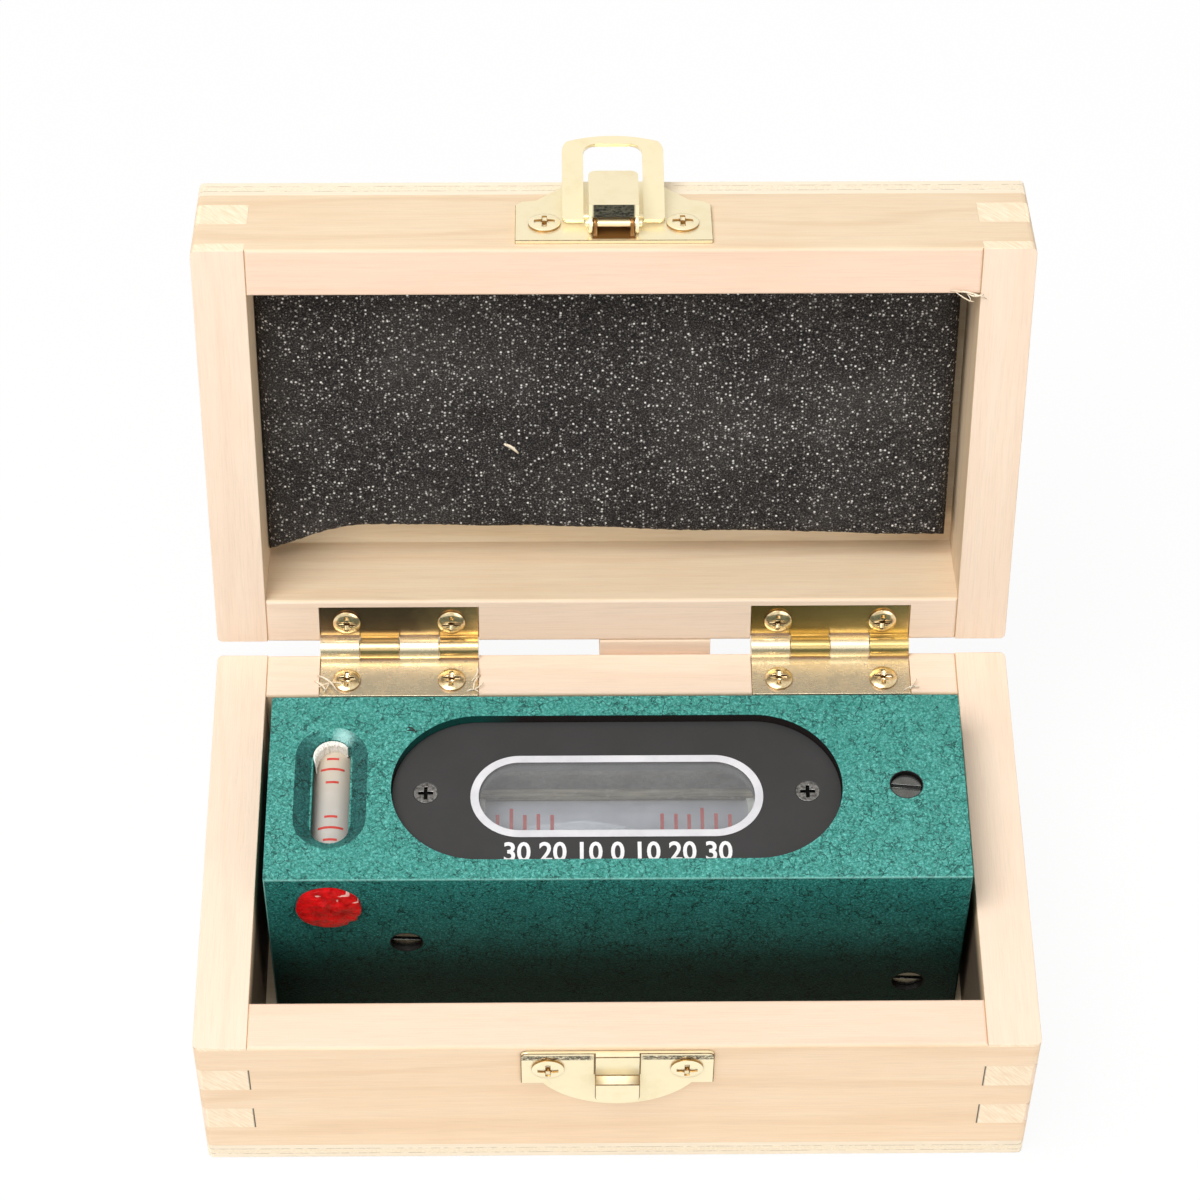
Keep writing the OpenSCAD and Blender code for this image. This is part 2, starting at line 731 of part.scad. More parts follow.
// Pocket over the cross vial: a long cone with a small floor, open at the level's top
module cross_pocket() {
    reach = (pocket_l - pocket_w) / 2;
    floor_half = slot_w / 2 + pocket_floor;
    spread = (pocket_w / 2 - floor_half) / pocket_d;
    over_half = pocket_w / 2 + spread * pocket_floor;
    for (side = [-1, 1]) translate([0, side * reach, -pocket_d])
        cylinder(r1 = floor_half, r2 = over_half, h = pocket_d + pocket_floor);
    rotate([90, 0, 0]) translate([0, 0, -reach]) linear_extrude(2 * reach) polygon([
        [-over_half, pocket_floor], [-floor_half, -pocket_d],
        [floor_half, -pocket_d], [over_half, pocket_floor]]);
}

module level_body() {
    color("#3fa596") on_level() difference() {
        linear_extrude(level_h) rounded_rectangle(level_l, level_w, level_edge_r);
        // The groove in the base
        rotate([90, 0, 90]) translate([0, 0, -level_l]) linear_extrude(2 * level_l) polygon([
            [-groove_w / 2, -eps], [groove_w / 2, -eps], [0, groove_w / 2 / tan(groove_angle / 2)]]);
        // The cover's seat, the opening under it and the carrier's chamber
        translate([0, 0, seat_z]) linear_extrude(level_h) stadium(cover_l + 2 * run, cover_w + 2 * run);
        translate([0, 0, cavity_top - eps]) linear_extrude(level_h)
            rounded_rectangle(window_hole_l, window_hole_w, window_hole_r);
        box(cavity_x0, cavity_x1, -cavity_half_w, cavity_half_w, cavity_low, cavity_top);
        for (side = [-1, 1]) translate([side * cover_screw_span / 2, 0, cavity_top - 1])
            cylinder(r = cover_thread_r, h = level_h);
        // Pivot screw: head seat, shank through the chamber, end in the back wall
        translate([pivot_x, 0, pivot_z]) {
            along_y(front_head_r + run, -level_w, -level_w / 2 + head_drop + head_t);
            along_y(shank_r, -level_w / 2, cavity_half_w + pivot_seat);
        }
        // Lock screw, up to the adjusting screw's lower end
        translate([lock_x, 0, lock_z]) {
            along_y(front_head_r + run, -level_w, -level_w / 2 + head_drop + head_t);
            along_y(shank_r, -level_w / 2, 0);
        }
        // Adjusting screw: head seat, neck and foot
        translate([adjust_x, 0, 0]) {
            translate([0, 0, level_h - head_drop - head_t]) cylinder(r = adjust_head_r + run, h = level_h);
            translate([0, 0, adjust_low - run]) cylinder(r = shank_r + run, h = level_h);
        }
        // Cross vial: bore from the front face, pocket and slot in the top
        translate([cross_x, 0, cross_z]) along_y(cross_bore_r, -level_w, cross_half_l + cross_plug);
        translate([cross_x, 0, level_h]) cross_pocket();
        translate([cross_x, 0, cross_z]) linear_extrude(level_h) rotate(90) stadium(slot_l, slot_w);
    }
}

module cover_screw_places() {
    for (side = [-1, 1]) translate([side * cover_screw_span / 2, 0, level_h - cover_drop]) children();
}

module cover_screw(grow) {
    translate([0, 0, -1]) cylinder(r1 = cover_thread_r, r2 = cover_head_r, h = 1);
    if (grow > 0) cylinder(r = cover_head_r, h = grow);
    translate([0, 0, -cover_t - cover_thread_l]) cylinder(r = cover_thread_r, h = cover_t + cover_thread_l);
}

module cover_plate() {
    color("#444242") on_level() difference() {
        translate([0, 0, seat_z]) linear_extrude(cover_t) difference() {
            stadium(cover_l, cover_w);
            translate([0, window_y]) stadium(window_l - bezel_t, window_w - bezel_t);
        }
        cover_screw_places() cover_screw(1);
    }
}

module cover_screws() {
    color("#5b5856") on_level() cover_screw_places() difference() {
        cover_screw(0);
        for (turn = [0, 90]) rotate([0, 0, turn])
            cube([cover_head_r * 1.2, cover_recess_w, 2 * cover_recess_d], center = true);
    }
}

// White bezel set in the cover's window, with a thin lip over the cover's face
module window_bezel() {
    lip = 0.15;
    color("#e9e9e4") on_level() translate([0, window_y, 0]) {
        translate([0, 0, seat_z]) linear_extrude(cover_t + lip) difference() {
            stadium(window_l - bezel_t, window_w - bezel_t);
            stadium(window_l - 2 * bezel_t, window_w - 2 * bezel_t);
        }
        translate([0, 0, seat_z + cover_t]) linear_extrude(lip) difference() {
            stadium(window_l, window_w);
            stadium(window_l - bezel_t, window_w - bezel_t);
        }
    }
}

module window_lens() {
    lens_t = 1.2;
    lens_drop = 0.3;
    color("#b9c6c4") on_level() translate([0, window_y, seat_z + cover_t - lens_t - lens_drop])
        linear_extrude(lens_t) stadium(window_l - 2 * bezel_t, window_w - 2 * bezel_t);
}

// Slotted screw along Y, its head near the level's front face
module front_screw(r, y_end) {
    head_y = -level_w / 2 + head_drop;
    difference() {
        union() {
            along_y(front_head_r, head_y, head_y + head_t);
            along_y(r, head_y + head_t - eps, y_end);
        }
        translate([0, head_y, 0]) rotate([0, 4, 0]) cube([3 * front_head_r, 1.6, slot_cut], center = true);
    }
}

module pivot_screw() {
    color("#7d7a74") on_level() translate([pivot_x, 0, pivot_z])
        front_screw(shank_r, cavity_half_w + pivot_seat);
}

// The lock screw's flat tip stands just clear of the adjusting screw's shank
module lock_screw() {
    color("#7d7a74") on_level() translate([lock_x, 0, lock_z]) front_screw(shank_r, -shank_r - 2 * run);
}

// Cross vial, drawn along X and turned to lie along Y

module at_cross_vial() {
    on_level() translate([cross_x, 0, cross_z]) rotate([0, 0, 90]) children();
}

module cross_vial_glass() {
    color("#e6ece8") at_cross_vial() difference() {
        along_x(cross_r, -cross_half_l, cross_half_l);
        along_x(cross_r - cross_wall, -cross_half_l - 1, cross_half_l + 1);
    }
}

module cross_vial_liquid() {
    color("#dfe8df") at_cross_vial() difference() {
        along_x(cross_r - cross_wall, -cross_half_l, cross_half_l);
        translate([0, 0, cross_channel_z])
            capsule(cross_bubble_r + slack, cross_bubble_l + 2 * (cross_travel + slack));
    }
}

module cross_bubble() {
    color("#f8fbf8") at_cross_vial() translate([0, 0, cross_channel_z])
        capsule(cross_bubble_r, cross_bubble_l);
}

// The plaster beds the glass below and at its ends, and leaves its top free
module cross_vial_plaster() {
    front = -cross_half_l - cross_plug;
    color("#f2efe8") at_cross_vial() difference() {
        along_x(cross_bore_r, front, cross_half_l + cross_plug);
        along_x(cross_r, -cross_half_l, cross_half_l);
        box(-cross_half_l, cross_half_l, -cross_bore_r, cross_bore_r, 1, level_h);
    }
}

module wax_seal() {
    front = -level_w / 2;
    color("#c8201c") on_level() translate([cross_x, 0, cross_z]) {
        along_y(cross_bore_r, front, -cross_half_l - cross_plug);
        along_y(seal_r, front - seal_proud * 0.5, front);
        translate([0, front - seal_proud, 0]) rotate([-90, 0, 0])
            cylinder(r1 = seal_r * 0.85, r2 = seal_r, h = seal_proud * 0.5);
    }
}

// Main vial and its carrier

module vial_carrier() {
    lug_half_w = 5.5;
    arm_half_w = 5;
    opening_half_w = 4.6;
    lug_z0 = pivot_z - lug_drop;
    arm_z1 = cavity_top - run - ring_t - tilt_room - 0.5;
    color("#a39a86") on_level() difference() {
        union() {
            translate([0, 0, vial_z]) along_x(carrier_r, -tube_half_l, tube_half_l);
            box(pivot_x - lug_reach, -tube_half_l + eps, -lug_half_w, lug_half_w,
                lug_z0, cavity_top - tilt_room);
            box(tube_half_l - eps, adjust_x + lug_reach, -arm_half_w, arm_half_w, lug_z0, arm_z1);
        }
        translate([0, 0, vial_z])
            along_x(tube_bore_r, -tube_half_l + plug_l - eps, tube_half_l - plug_l + eps);
        box(slot_end - vial_l / 2, vial_l / 2 - slot_end, -opening_half_w, opening_half_w, vial_z, level_h);
        translate([pivot_x, 0, pivot_z]) along_y(shank_r + run, -level_w, level_w);
        translate([adjust_x, 0, 0]) cylinder(r = shank_r + slack, h = level_h);
    }
}

module main_vial_glass() {
    color("#cfd6d0") on_level() translate([0, 0, vial_z]) difference() {
        along_x(vial_r, -vial_l / 2, vial_l / 2);
        along_x(vial_r - vial_wall, -vial_l, vial_l);
    }
}

module main_vial_liquid() {
    color("#d6d2dc") on_level() translate([0, 0, vial_z]) difference() {
        along_x(vial_r - vial_wall, -vial_l / 2, vial_l / 2);
        translate([0, 0, channel_z]) capsule(bubble_r + slack, bubble_l + 2 * (bubble_travel + slack));
    }
}

// Rings of plaster that hold the glass in the tube
module vial_end_plugs() {
    color("#f2efe8") on_level() translate([0, 0, vial_z]) for (side = [-1, 1]) difference() {
        translate([side * (vial_l / 2 - plug_l), 0, 0]) along_x(tube_bore_r, -plug_l, plug_l);
        along_x(vial_r, -vial_l, vial_l);
    }
}

module main_bubble() {
    color("#f8fbf8") on_level() translate([0, 0, vial_z + channel_z]) capsule(bubble_r, bubble_l);
}

module adjusting_screw() {
    head_z = level_h - head_drop;
    color("#6e6b66") on_level() translate([adjust_x, 0, 0]) difference() {
        union() {
            translate([0, 0, head_z - head_t]) cylinder(r = adjust_head_r, h = head_t);
            translate([0, 0, adjust_low]) cylinder(r = shank_r, h = head_z - head_t - adjust_low + eps);
        }
        translate([0, 0, head_z]) rotate([0, 0, -6]) cube([3 * adjust_head_r, slot_cut, 1.6], center = true);
    }
}

// Ring under the top wall that keeps the adjusting screw from lifting
module adjusting_ring() {
    color("#6e6b66") on_level() translate([adjust_x, 0, cavity_top - run - ring_t]) difference() {
        cylinder(r = shank_r + ring_w, h = ring_t);
        translate([0, 0, -ring_t]) cylinder(r = shank_r, h = 3 * ring_t);
    }
}

tray_front_wall();
tray_back_wall();
tray_left_wall();
tray_right_wall();
tray_bottom();
tray_leaf_left();
tray_leaf_right();
hinge_pins();
tray_hinge_screws();
catch_plate();
catch_screws();
lid_front_wall();
lid_back_wall();
lid_left_wall();
lid_right_wall();
lid_top_panel();
lid_foam_pad();
lid_stop_block();
lid_leaf_left();
lid_leaf_right();
lid_hinge_screws();
hasp_plate();
hasp_screws();
lever_pin();
latch_lever();
latch_loop();
level_body();
cover_plate();
cover_screws();
window_bezel();
window_lens();
pivot_screw();
lock_screw();
cross_vial_glass();
cross_vial_liquid();
cross_vial_plaster();
wax_seal();
cross_bubble();
vial_carrier();
main_vial_glass();
main_vial_liquid();
vial_end_plugs();
main_bubble();
adjusting_screw();
adjusting_ring();
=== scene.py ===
import json
import math
import random

import bmesh
import bpy
from mathutils import Matrix, Vector
from mathutils import noise as field


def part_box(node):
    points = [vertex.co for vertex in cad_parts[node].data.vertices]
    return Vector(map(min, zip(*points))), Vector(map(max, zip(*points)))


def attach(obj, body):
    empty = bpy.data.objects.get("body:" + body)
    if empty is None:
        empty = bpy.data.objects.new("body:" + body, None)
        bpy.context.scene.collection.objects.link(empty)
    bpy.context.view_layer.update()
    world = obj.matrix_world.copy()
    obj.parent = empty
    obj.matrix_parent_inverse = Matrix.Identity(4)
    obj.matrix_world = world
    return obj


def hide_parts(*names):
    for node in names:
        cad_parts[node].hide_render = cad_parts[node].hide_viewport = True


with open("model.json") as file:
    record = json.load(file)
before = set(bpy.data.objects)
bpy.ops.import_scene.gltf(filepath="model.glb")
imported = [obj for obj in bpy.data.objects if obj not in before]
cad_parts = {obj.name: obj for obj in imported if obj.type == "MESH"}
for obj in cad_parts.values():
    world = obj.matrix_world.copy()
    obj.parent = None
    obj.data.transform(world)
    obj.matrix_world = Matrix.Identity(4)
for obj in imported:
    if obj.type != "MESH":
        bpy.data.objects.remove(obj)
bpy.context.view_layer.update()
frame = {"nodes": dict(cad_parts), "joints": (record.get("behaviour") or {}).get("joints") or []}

# A machine level in its wooden case. Sizes here are millimetres in the case's own frame
MM = 0.001
nodes = frame["nodes"]
joints = {joint["name"]: joint for joint in frame["joints"]}
PIN = Vector(joints["lid_hinge"]["pos_m"])
LID_OPEN = math.radians(joints["lid_hinge"]["range_deg"][1])
random.seed(7)


def box_mm(node):
    """Lowest and highest corner of a CAD node, in millimetres."""
    low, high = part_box(node)
    return low / MM, high / MM


def shut(point):
    """Where a point of the open lid, in metres, lies when the case is shut."""
    return PIN + Matrix.Rotation(LID_OPEN, 3, "X") @ (point - PIN)


def opened(point):
    """Where a point of the shut lid, in metres, lies when the lid is open."""
    return PIN + Matrix.Rotation(-LID_OPEN, 3, "X") @ (point - PIN)


def shut_box_mm(node):
    """Lowest and highest corner of a node of the lid on the shut case, in millimetres."""
    points = [shut(vert.co) / MM for vert in nodes[node].data.vertices]
    return [Vector([pick(point[i] for point in points) for i in range(3)]) for pick in (min, max)]


CASE_LOW, CASE_HIGH = box_mm("tray_bottom")
TRAY_TOP = box_mm("tray_left_wall")[1].z
WALL = box_mm("tray_front_wall")[1].y - CASE_LOW.y
PLY = CASE_HIGH.z
LEVEL_LOW, LEVEL_HIGH = box_mm("level_body")
LEVEL_MID = (LEVEL_LOW + LEVEL_HIGH) / 2
COVER_LOW, COVER_HIGH = box_mm("cover_plate")
LID_RIM = shut_box_mm("lid_left_wall")[0].z
LID_TOP = shut_box_mm("lid_top_panel")[1].z
CROSS_X = sum(corner.x for corner in box_mm("cross_vial_glass")) / 2
# Outline of the cover's recess: the radius of its ends and half the length of its straight sides
RECESS_GAP = 0.05
RECESS_R = (COVER_HIGH.y - COVER_LOW.y) / 2 + RECESS_GAP
RECESS_STRAIGHT = (COVER_HIGH.x - COVER_LOW.x) / 2 + RECESS_GAP - RECESS_R
# Half the width of the catch's tongue and of the lever
TONGUE_HALF = 3.2
# Widths of the sanded edges of the wood: upright corners, rims and joints
CORNER, RIM, JOINT = 0.9, 0.4, 0.05
# Vertices closer than this are one, and faces that turn by less than this are one
WELD_GAP = 0.001
FLAT_TURN = math.radians(0.4)
# How far a pattern is moved for each seed, so that no two boards look alike
SEED_SHIFT = Vector((131, 57, 91))


def srgb(red, green, blue):
    """A colour as a picture shows it, 0 to 255, turned into the linear one that shaders take."""
    def linear(value):
        value = value / 255
        return value / 12.92 if value <= 0.04045 else ((value + 0.055) / 1.055) ** 2.4
    return (linear(red), linear(green), linear(blue), 1)


def hump(far, wide):
    """Height of a smooth bump that is 1 at its middle and fades over a width."""
    return math.exp(-(far / wide) ** 2)


# Materials

class Look:
    """A node material or world, made call by call. Calls that make a node return its output socket."""

    def __init__(self, name, world=False):
        self.made = (bpy.data.worlds if world else bpy.data.materials).new(name)
        self.made.use_nodes = True
        self.tree = self.made.node_tree
        self.tree.nodes.clear()

    def node(self, kind, values=(), **settings):
        made = self.tree.nodes.new("ShaderNode" + kind)
        for key, value in settings.items():
            setattr(made, key, value)
        for key, value in dict(values).items():
            socket = made.inputs[key]
            if isinstance(value, bpy.types.NodeSocket):
                self.tree.links.new(value, socket)
            else:
                socket.default_value = value
        return made

    def turned(self, vector, centre, lid):
        """The vector, or on the lid the one that it becomes when the case is shut."""
        if not lid:
            return vector
        turn = {"Vector": vector, "Center": centre, "Angle": LID_OPEN}
        return self.node("VectorRotate", turn, rotation_type="X_AXIS").outputs[0]

    def place(self, lid=False, seed=0):
        """Coordinates in millimetres. On the lid they are those of the shut case."""
        spot = self.turned(self.node("TexCoord").outputs["Object"], PIN, lid)
        spot = self.vector("MULTIPLY", spot, (1 / MM,) * 3)
        return self.vector("ADD", spot, SEED_SHIFT * seed) if seed else spot

    def facing(self, lid=False):
        """X, Y and Z of the surface's direction, in the same frame as place()."""
        return self.parts(self.turned(self.node("TexCoord").outputs["Normal"], (0, 0, 0), lid))

    def vector(self, operation, first, second):
        return self.node("VectorMath", {0: first, 1: second}, operation=operation).outputs[0]

    def parts(self, vector):
        return self.node("SeparateXYZ", {0: vector}).outputs

    def join(self, x, y, z):
        return self.node("CombineXYZ", {0: x, 1: y, 2: z}).outputs[0]

    def calc(self, operation, first, second=0.0, third=0.0):
        return self.node("Math", {0: first, 1: second, 2: third}, operation=operation).outputs[0]

    def length(self, vector):
        return self.node("VectorMath", {0: vector}, operation="LENGTH").outputs["Value"]

    def size(self, value):
        """The value without its sign."""
        return self.calc("ABSOLUTE", value)

    def minus(self, first, second):
        return self.calc("SUBTRACT", first, second)

    def times(self, first, *more):
        """The product of numbers. Of masks, it is on where all of them are on."""
        for factor in more:
            first = self.calc("MULTIPLY", first, factor)
        return first

    def span(self, value, low, high, to_low=0.0, to_high=1.0):
        """Maps low..high to to_low..to_high, clamped."""
        values = {"Value": value, "From Min": low, "From Max": high, "To Min": to_low, "To Max": to_high}
        return self.node("MapRange", values).outputs[0]

    def noise(self, vector, size, detail=3.0, rough=0.5, twist=0.0):
        values = {"Vector": vector, "Scale": 1 / size, "Detail": detail, "Roughness": rough,
                  "Distortion": twist}
        return self.node("TexNoise", values).outputs["Fac"]

    def cell_edges(self, vector, size):
        values = {"Vector": vector, "Scale": 1 / size}
        return self.node("TexVoronoi", values, feature="DISTANCE_TO_EDGE").outputs["Distance"]

    def ramp(self, value, *stops):
        made = self.node("ValToRGB", {"Fac": value})
        elements = made.color_ramp.elements
        while len(elements) < len(stops):
            elements.new(0.5)
        for element, (spot, colour) in zip(elements, stops):
            element.position = spot
            element.color = colour
        return made.outputs["Color"]

    def mix(self, factor, first, second, how="MIX"):
        values = {0: factor, 6: first, 7: second}
        return self.node("Mix", values, data_type="RGBA", blend_type=how).outputs[2]

    def tint(self, colour, factor):
        """The colour multiplied by a number, or by one for each channel."""
        return self.mix(1.0, colour, factor, "MULTIPLY")

    def seen(self):
        """On for rays that show a thing: straight to the camera, in a mirror or through glass."""
        path = self.node("LightPath").outputs
        straight = self.calc("MAXIMUM", path["Is Camera Ray"], path["Is Glossy Ray"])
        return self.calc("MAXIMUM", straight, path["Is Transmission Ray"])

    def finish(self, shader):
        self.node("OutputMaterial", {"Surface": shader})
        return self.made

    def principled(self, colour, rough, height, depth, **more):
        """Ends the look. Bumps are depth millimetres high. In the names of more, _ is a space."""
        bump = self.node("Bump", {"Height": height, "Distance": depth * MM, "Strength": 1.0})
        values = {"Base Color": colour, "Roughness": rough, "Normal": bump.outputs[0]}
        values.update({key.replace("_", " "): value for key, value in more.items()})
        return self.finish(self.node("BsdfPrincipled", values).outputs[0])


WHITE = (1, 1, 1, 1)


def wood_look(name, along, lid, seed, shaded_gap):
    """Pale planed poplar. along is the axis of the grain, 0, 1 or 2."""
    look = Look(name)
    place = look.place(lid, seed)
    axis = look.parts(place)
    across = [axis[i] for i in range(3) if i != along]
    facing = look.facing(lid)

    def grain(run, pitch):
        scale = [1 / pitch] * 3
        scale[along] = 1 / run
        return look.vector("MULTIPLY", place, scale)

    wander = look.noise(grain(110, 12), 1.0, 2, 0.5)
    lean = look.calc("MULTIPLY_ADD", across[0], 0.45, look.times(across[1], 0.7))
    wave = look.calc("SINE", look.calc("MULTIPLY_ADD", wander, 18.0, lean))
    rings = look.span(wave, 0.72, 1.0)
    fibre = look.noise(grain(6.0, 0.20), 1.0, 2, 0.6)
    streak = look.noise(grain(34, 1.2), 1.0, 4, 0.6)
    cloud = look.noise(place, 18, 3, 0.5)
    colour = look.ramp(streak, (0.30, srgb(249, 222, 190)), (0.66, srgb(252, 231, 202)))
    colour = look.mix(look.times(rings, 0.22), colour, srgb(226, 188, 146))
    colour = look.mix(look.span(cloud, 0.42, 0.72, 0, 0.3), colour, srgb(245, 214, 178))
    # Painted light and shade: level faces are painted paler and upright ones darker, the lid's upright
    # faces darker still; wall and rim hold this painted shade
    upright = look.span(look.size(facing[2]), 0.85, 0.5)
    wall = (0.85, 0.83, 0.79, 1) if lid else (0.93, 0.88, 0.83, 1)
    rim = (0.90, 0.77, 0.74, 1) if name.endswith("front_wall_wood") else (0.90, 0.84, 0.83, 1)
    colour = look.mix(look.span(upright, 0, 1, 0.45, 0), colour, srgb(254, 243, 226))
    colour = look.tint(colour, look.mix(upright, rim, wall))
    colour = look.tint(colour, look.span(fibre, 0.28, 0.55, 0.93, 1.0))
    # The ends of the boards show slanted growth rings and no lengthwise fibre
    end = look.span(look.size(facing[along]), 0.75, 0.95)
    slant = look.calc("MULTIPLY_ADD", across[1], 0.8, across[0])
    skew = look.minus(across[1], across[0])
    rows = look.join(look.times(slant, 2.6), look.times(skew, 0.22), 0.0)
    end_colour = look.ramp(look.noise(rows, 1.0, 3, 0.6), (0.36, srgb(240, 214, 180)),
                           (0.62, srgb(252, 234, 206)))
    colour = look.mix(end, colour, end_colour)
    height = look.calc("MULTIPLY_ADD", streak, 0.35, fibre)
    height = look.calc("MULTIPLY_ADD", look.noise(place, 0.14, 2, 0.6), 0.5, height)
    if shaded_gap:
        # Painted shade, near black, on the wall's inner face in the narrow gap beside the level
        x = look.size(look.minus(axis[0], seed * SEED_SHIFT.x))
        z = look.minus(axis[2], seed * SEED_SHIFT.z)
        face = CASE_HIGH.x - WALL
        gap_shade = look.times(look.span(x, face + 0.3, face + 0.1),
                            look.span(z, TRAY_TOP - 0.4, TRAY_TOP - 5.0), 0.9)
        colour = look.mix(gap_shade, colour, srgb(40, 34, 30))
    rough = look.span(fibre, 0.3, 0.7, 0.52, 0.66)
    return look.principled(colour, rough, height, 0.03, Specular_IOR_Level=0.3)


def ply_look(name, z_low, lid, seed):
    """Three-layer plywood: the face veneers run along X, the core runs across and shows at the edges."""
    look = Look(name)
    place = look.place(lid, seed)
    height = look.minus(look.parts(place)[2], z_low + seed * SEED_SHIFT.z)
    face = look.vector("MULTIPLY", place, (1 / 30, 1 / 1.5, 1 / 1.5))
    streak = look.noise(face, 1.0, 4, 0.6)
    fibre = look.noise(look.vector("MULTIPLY", place, (1 / 6, 1 / 0.25, 1 / 0.25)), 1.0, 2, 0.6)
    side = look.span(look.size(look.facing(lid)[2]), 0.8, 0.5)
    colour = look.ramp(streak, (0.3, srgb(228, 203, 166)), (0.65, srgb(240, 222, 192)))
    colour = look.mix(look.times(side, 0.6), colour, srgb(250, 238, 218))
    pores = look.noise(place, 0.35, 3, 0.7)
    core = look.ramp(pores, (0.35, srgb(238, 219, 188)), (0.62, srgb(248, 234, 210)))
    edge = look.calc("MULTIPLY_ADD", look.noise(place, 3.0, 2), 0.16, height)
    in_core = look.times(look.span(edge, 1.12, 1.2), look.span(edge, 2.52, 2.44))
    colour = look.mix(look.times(in_core, side), colour, core)
    lines = [look.span(look.size(look.minus(edge, spot)), 0.09, 0.03) for spot in (1.16, 2.48)]
    broken = look.span(look.noise(place, 1.1, 2), 0.4, 0.55)
    glue = look.times(look.calc("MAXIMUM", *lines), side, broken, 0.55)
    colour = look.mix(glue, colour, srgb(120, 100, 78))
    colour = look.tint(colour, look.span(fibre, 0.25, 0.62, 0.93, 1.0))
    height = look.calc("MULTIPLY_ADD", pores, 0.6, fibre)
    return look.principled(colour, 0.62, height, 0.04, Specular_IOR_Level=0.3)


def paint_coat(look, place, upright):
    """Wrinkled green skin, rougher on the upright sides: its colour and the height of its wrinkles."""
    bend = look.node("TexNoise", {"Vector": place, "Scale": 0.8, "Detail": 3.0}).outputs["Color"]
    bent_place = look.vector("ADD", place, look.vector("MULTIPLY", bend, (2.4, 2.4, 2.4)))
    gate = look.span(look.noise(place, 2.2, 3, 0.6), 0.44, 0.54)
    vein = look.times(look.span(look.cell_edges(bent_place, 1.5), 0.055, 0.012), gate)
    crease = look.span(look.cell_edges(bent_place, 0.62), 0.11, 0.02)
    lumps = look.noise(place, 0.40, 4, 0.72, 0.5)
    broad = look.noise(place, 9.0, 3, 0.5)
    colour = look.ramp(lumps, (0.36, srgb(34, 112, 101)), (0.5, srgb(68, 153, 142)),
                       (0.64, srgb(112, 196, 186)))
    colour = look.mix(look.span(broad, 0.4, 0.7, 0, 0.3), colour, srgb(50, 138, 127))
    colour = look.mix(look.times(crease, look.span(upright, 0, 1, 0.34, 0.66)), colour, srgb(20, 84, 76))
    colour = look.mix(look.times(vein, look.span(upright, 0, 1, 0.75, 0.95)), colour, srgb(8, 50, 45))
    height = look.minus(lumps, look.times(vein, 0.7))
    height = look.minus(height, look.times(crease, 0.35))
    return colour, height


def paint_sides(look, colour, axis, upright):
    """Painted shade on the upright sides, darkest toward the base, and a painted highlight on the front's
    top and left edges.
    """
    x, y, z = axis
    side_shade = look.ramp(look.span(z, 12.5, LEVEL_HIGH.z), (0.0, (0.06, 0.08, 0.08, 1)),
                      (0.2, (0.11, 0.15, 0.15, 1)), (0.45, (0.32, 0.42, 0.43, 1)),
                      (0.7, (0.36, 0.52, 0.54, 1)), (1.0, (0.42, 0.64, 0.66, 1)))
    colour = look.tint(colour, look.mix(upright, WHITE, side_shade))
    # Painted highlight along the front face's top and left edges
    top_edge = look.span(z, LEVEL_HIGH.z - 0.30, LEVEL_HIGH.z - 0.14)
    front_edge = look.span(y, LEVEL_LOW.y + 0.26, LEVEL_LOW.y + 0.12)
    left_edge = look.span(x, LEVEL_LOW.x + 0.26, LEVEL_LOW.x + 0.12)
    rim = look.times(front_edge, look.calc("MAXIMUM", top_edge, left_edge), 0.45)
    return look.mix(rim, colour, srgb(150, 214, 204))


def paint_pocket(look, colour, place, facing):
    """The cross vial's pocket: painted shade on its long sides and near end, and a painted highlight at its
    far end.
    """
    tilt = look.size(facing[2])
    near_pocket = look.span(look.parts(place)[0], CROSS_X + 8, CROSS_X + 7)
    slope = look.times(look.span(tilt, 0.985, 0.93), look.span(tilt, 0.5, 0.7), near_pocket)
    sideways = look.span(look.size(facing[0]), 0.1, 0.45)
    ends = look.mix(look.span(facing[1], -0.3, 0.3), (0.95, 0.98, 0.98, 1), (0.60, 0.72, 0.74, 1))
    shade = look.mix(sideways, ends, (0.26, 0.36, 0.38, 1))
    colour = look.mix(slope, colour, look.tint(colour, shade))
    patch = (CROSS_X + 1.6, LEVEL_MID.y + 9.2, LEVEL_HIGH.z - 0.6)
    glint = look.span(look.length(look.vector("SUBTRACT", place, patch)), 1.9, 0.5)
    return look.mix(look.times(slope, glint, 0.75), colour, srgb(176, 226, 220))


def recess_frame(look, axis):
    """Places along and across the cover's recess, and the distance from its middle line."""
    run = look.minus(axis[0], LEVEL_MID.x)
    cross = look.minus(axis[1], LEVEL_MID.y)
    over = look.calc("MAXIMUM", look.minus(look.size(run), RECESS_STRAIGHT), 0.0)
    return run, cross, look.length(look.join(over, cross, 0.0))


def paint_recess(look, colour, run, cross, reach, z):
    """Wall of the cover's recess: painted shade, near black, and dark green where paint runs over its far
    left.
    """
    inside = look.times(look.span(reach, RECESS_R + 0.14, RECESS_R + 0.08),
                       look.span(z, LEVEL_HIGH.z - 0.06, LEVEL_HIGH.z - 0.12))
    painted = look.times(look.span(cross, 3.0, 8.0), look.span(run, 6 - RECESS_STRAIGHT, -RECESS_STRAIGHT))
    return look.mix(inside, colour, look.mix(painted, srgb(38, 33, 32), srgb(22, 72, 66)))


def paint_bores(look, colour, place):
    """Bores of the slotted screws, painted near black as shade. Each runs along the axis that is named
    here.
    """
    for node, along in (("pivot_screw", 1), ("lock_screw", 1), ("adjusting_screw", 2)):
        low, high = box_mm(node)
        heart = (low + high) / 2
        heart[along] = 0
        keep = [0.0 if i == along else 1.0 for i in range(3)]
        away = look.length(look.vector("SUBTRACT", look.vector("MULTIPLY", place, keep), heart))
        head_r = max(high[i] - low[i] for i in range(3) if i != along) / 2
        colour = look.mix(look.span(away, head_r + 0.22, head_r + 0.14), colour, srgb(24, 22, 20))
    return colour


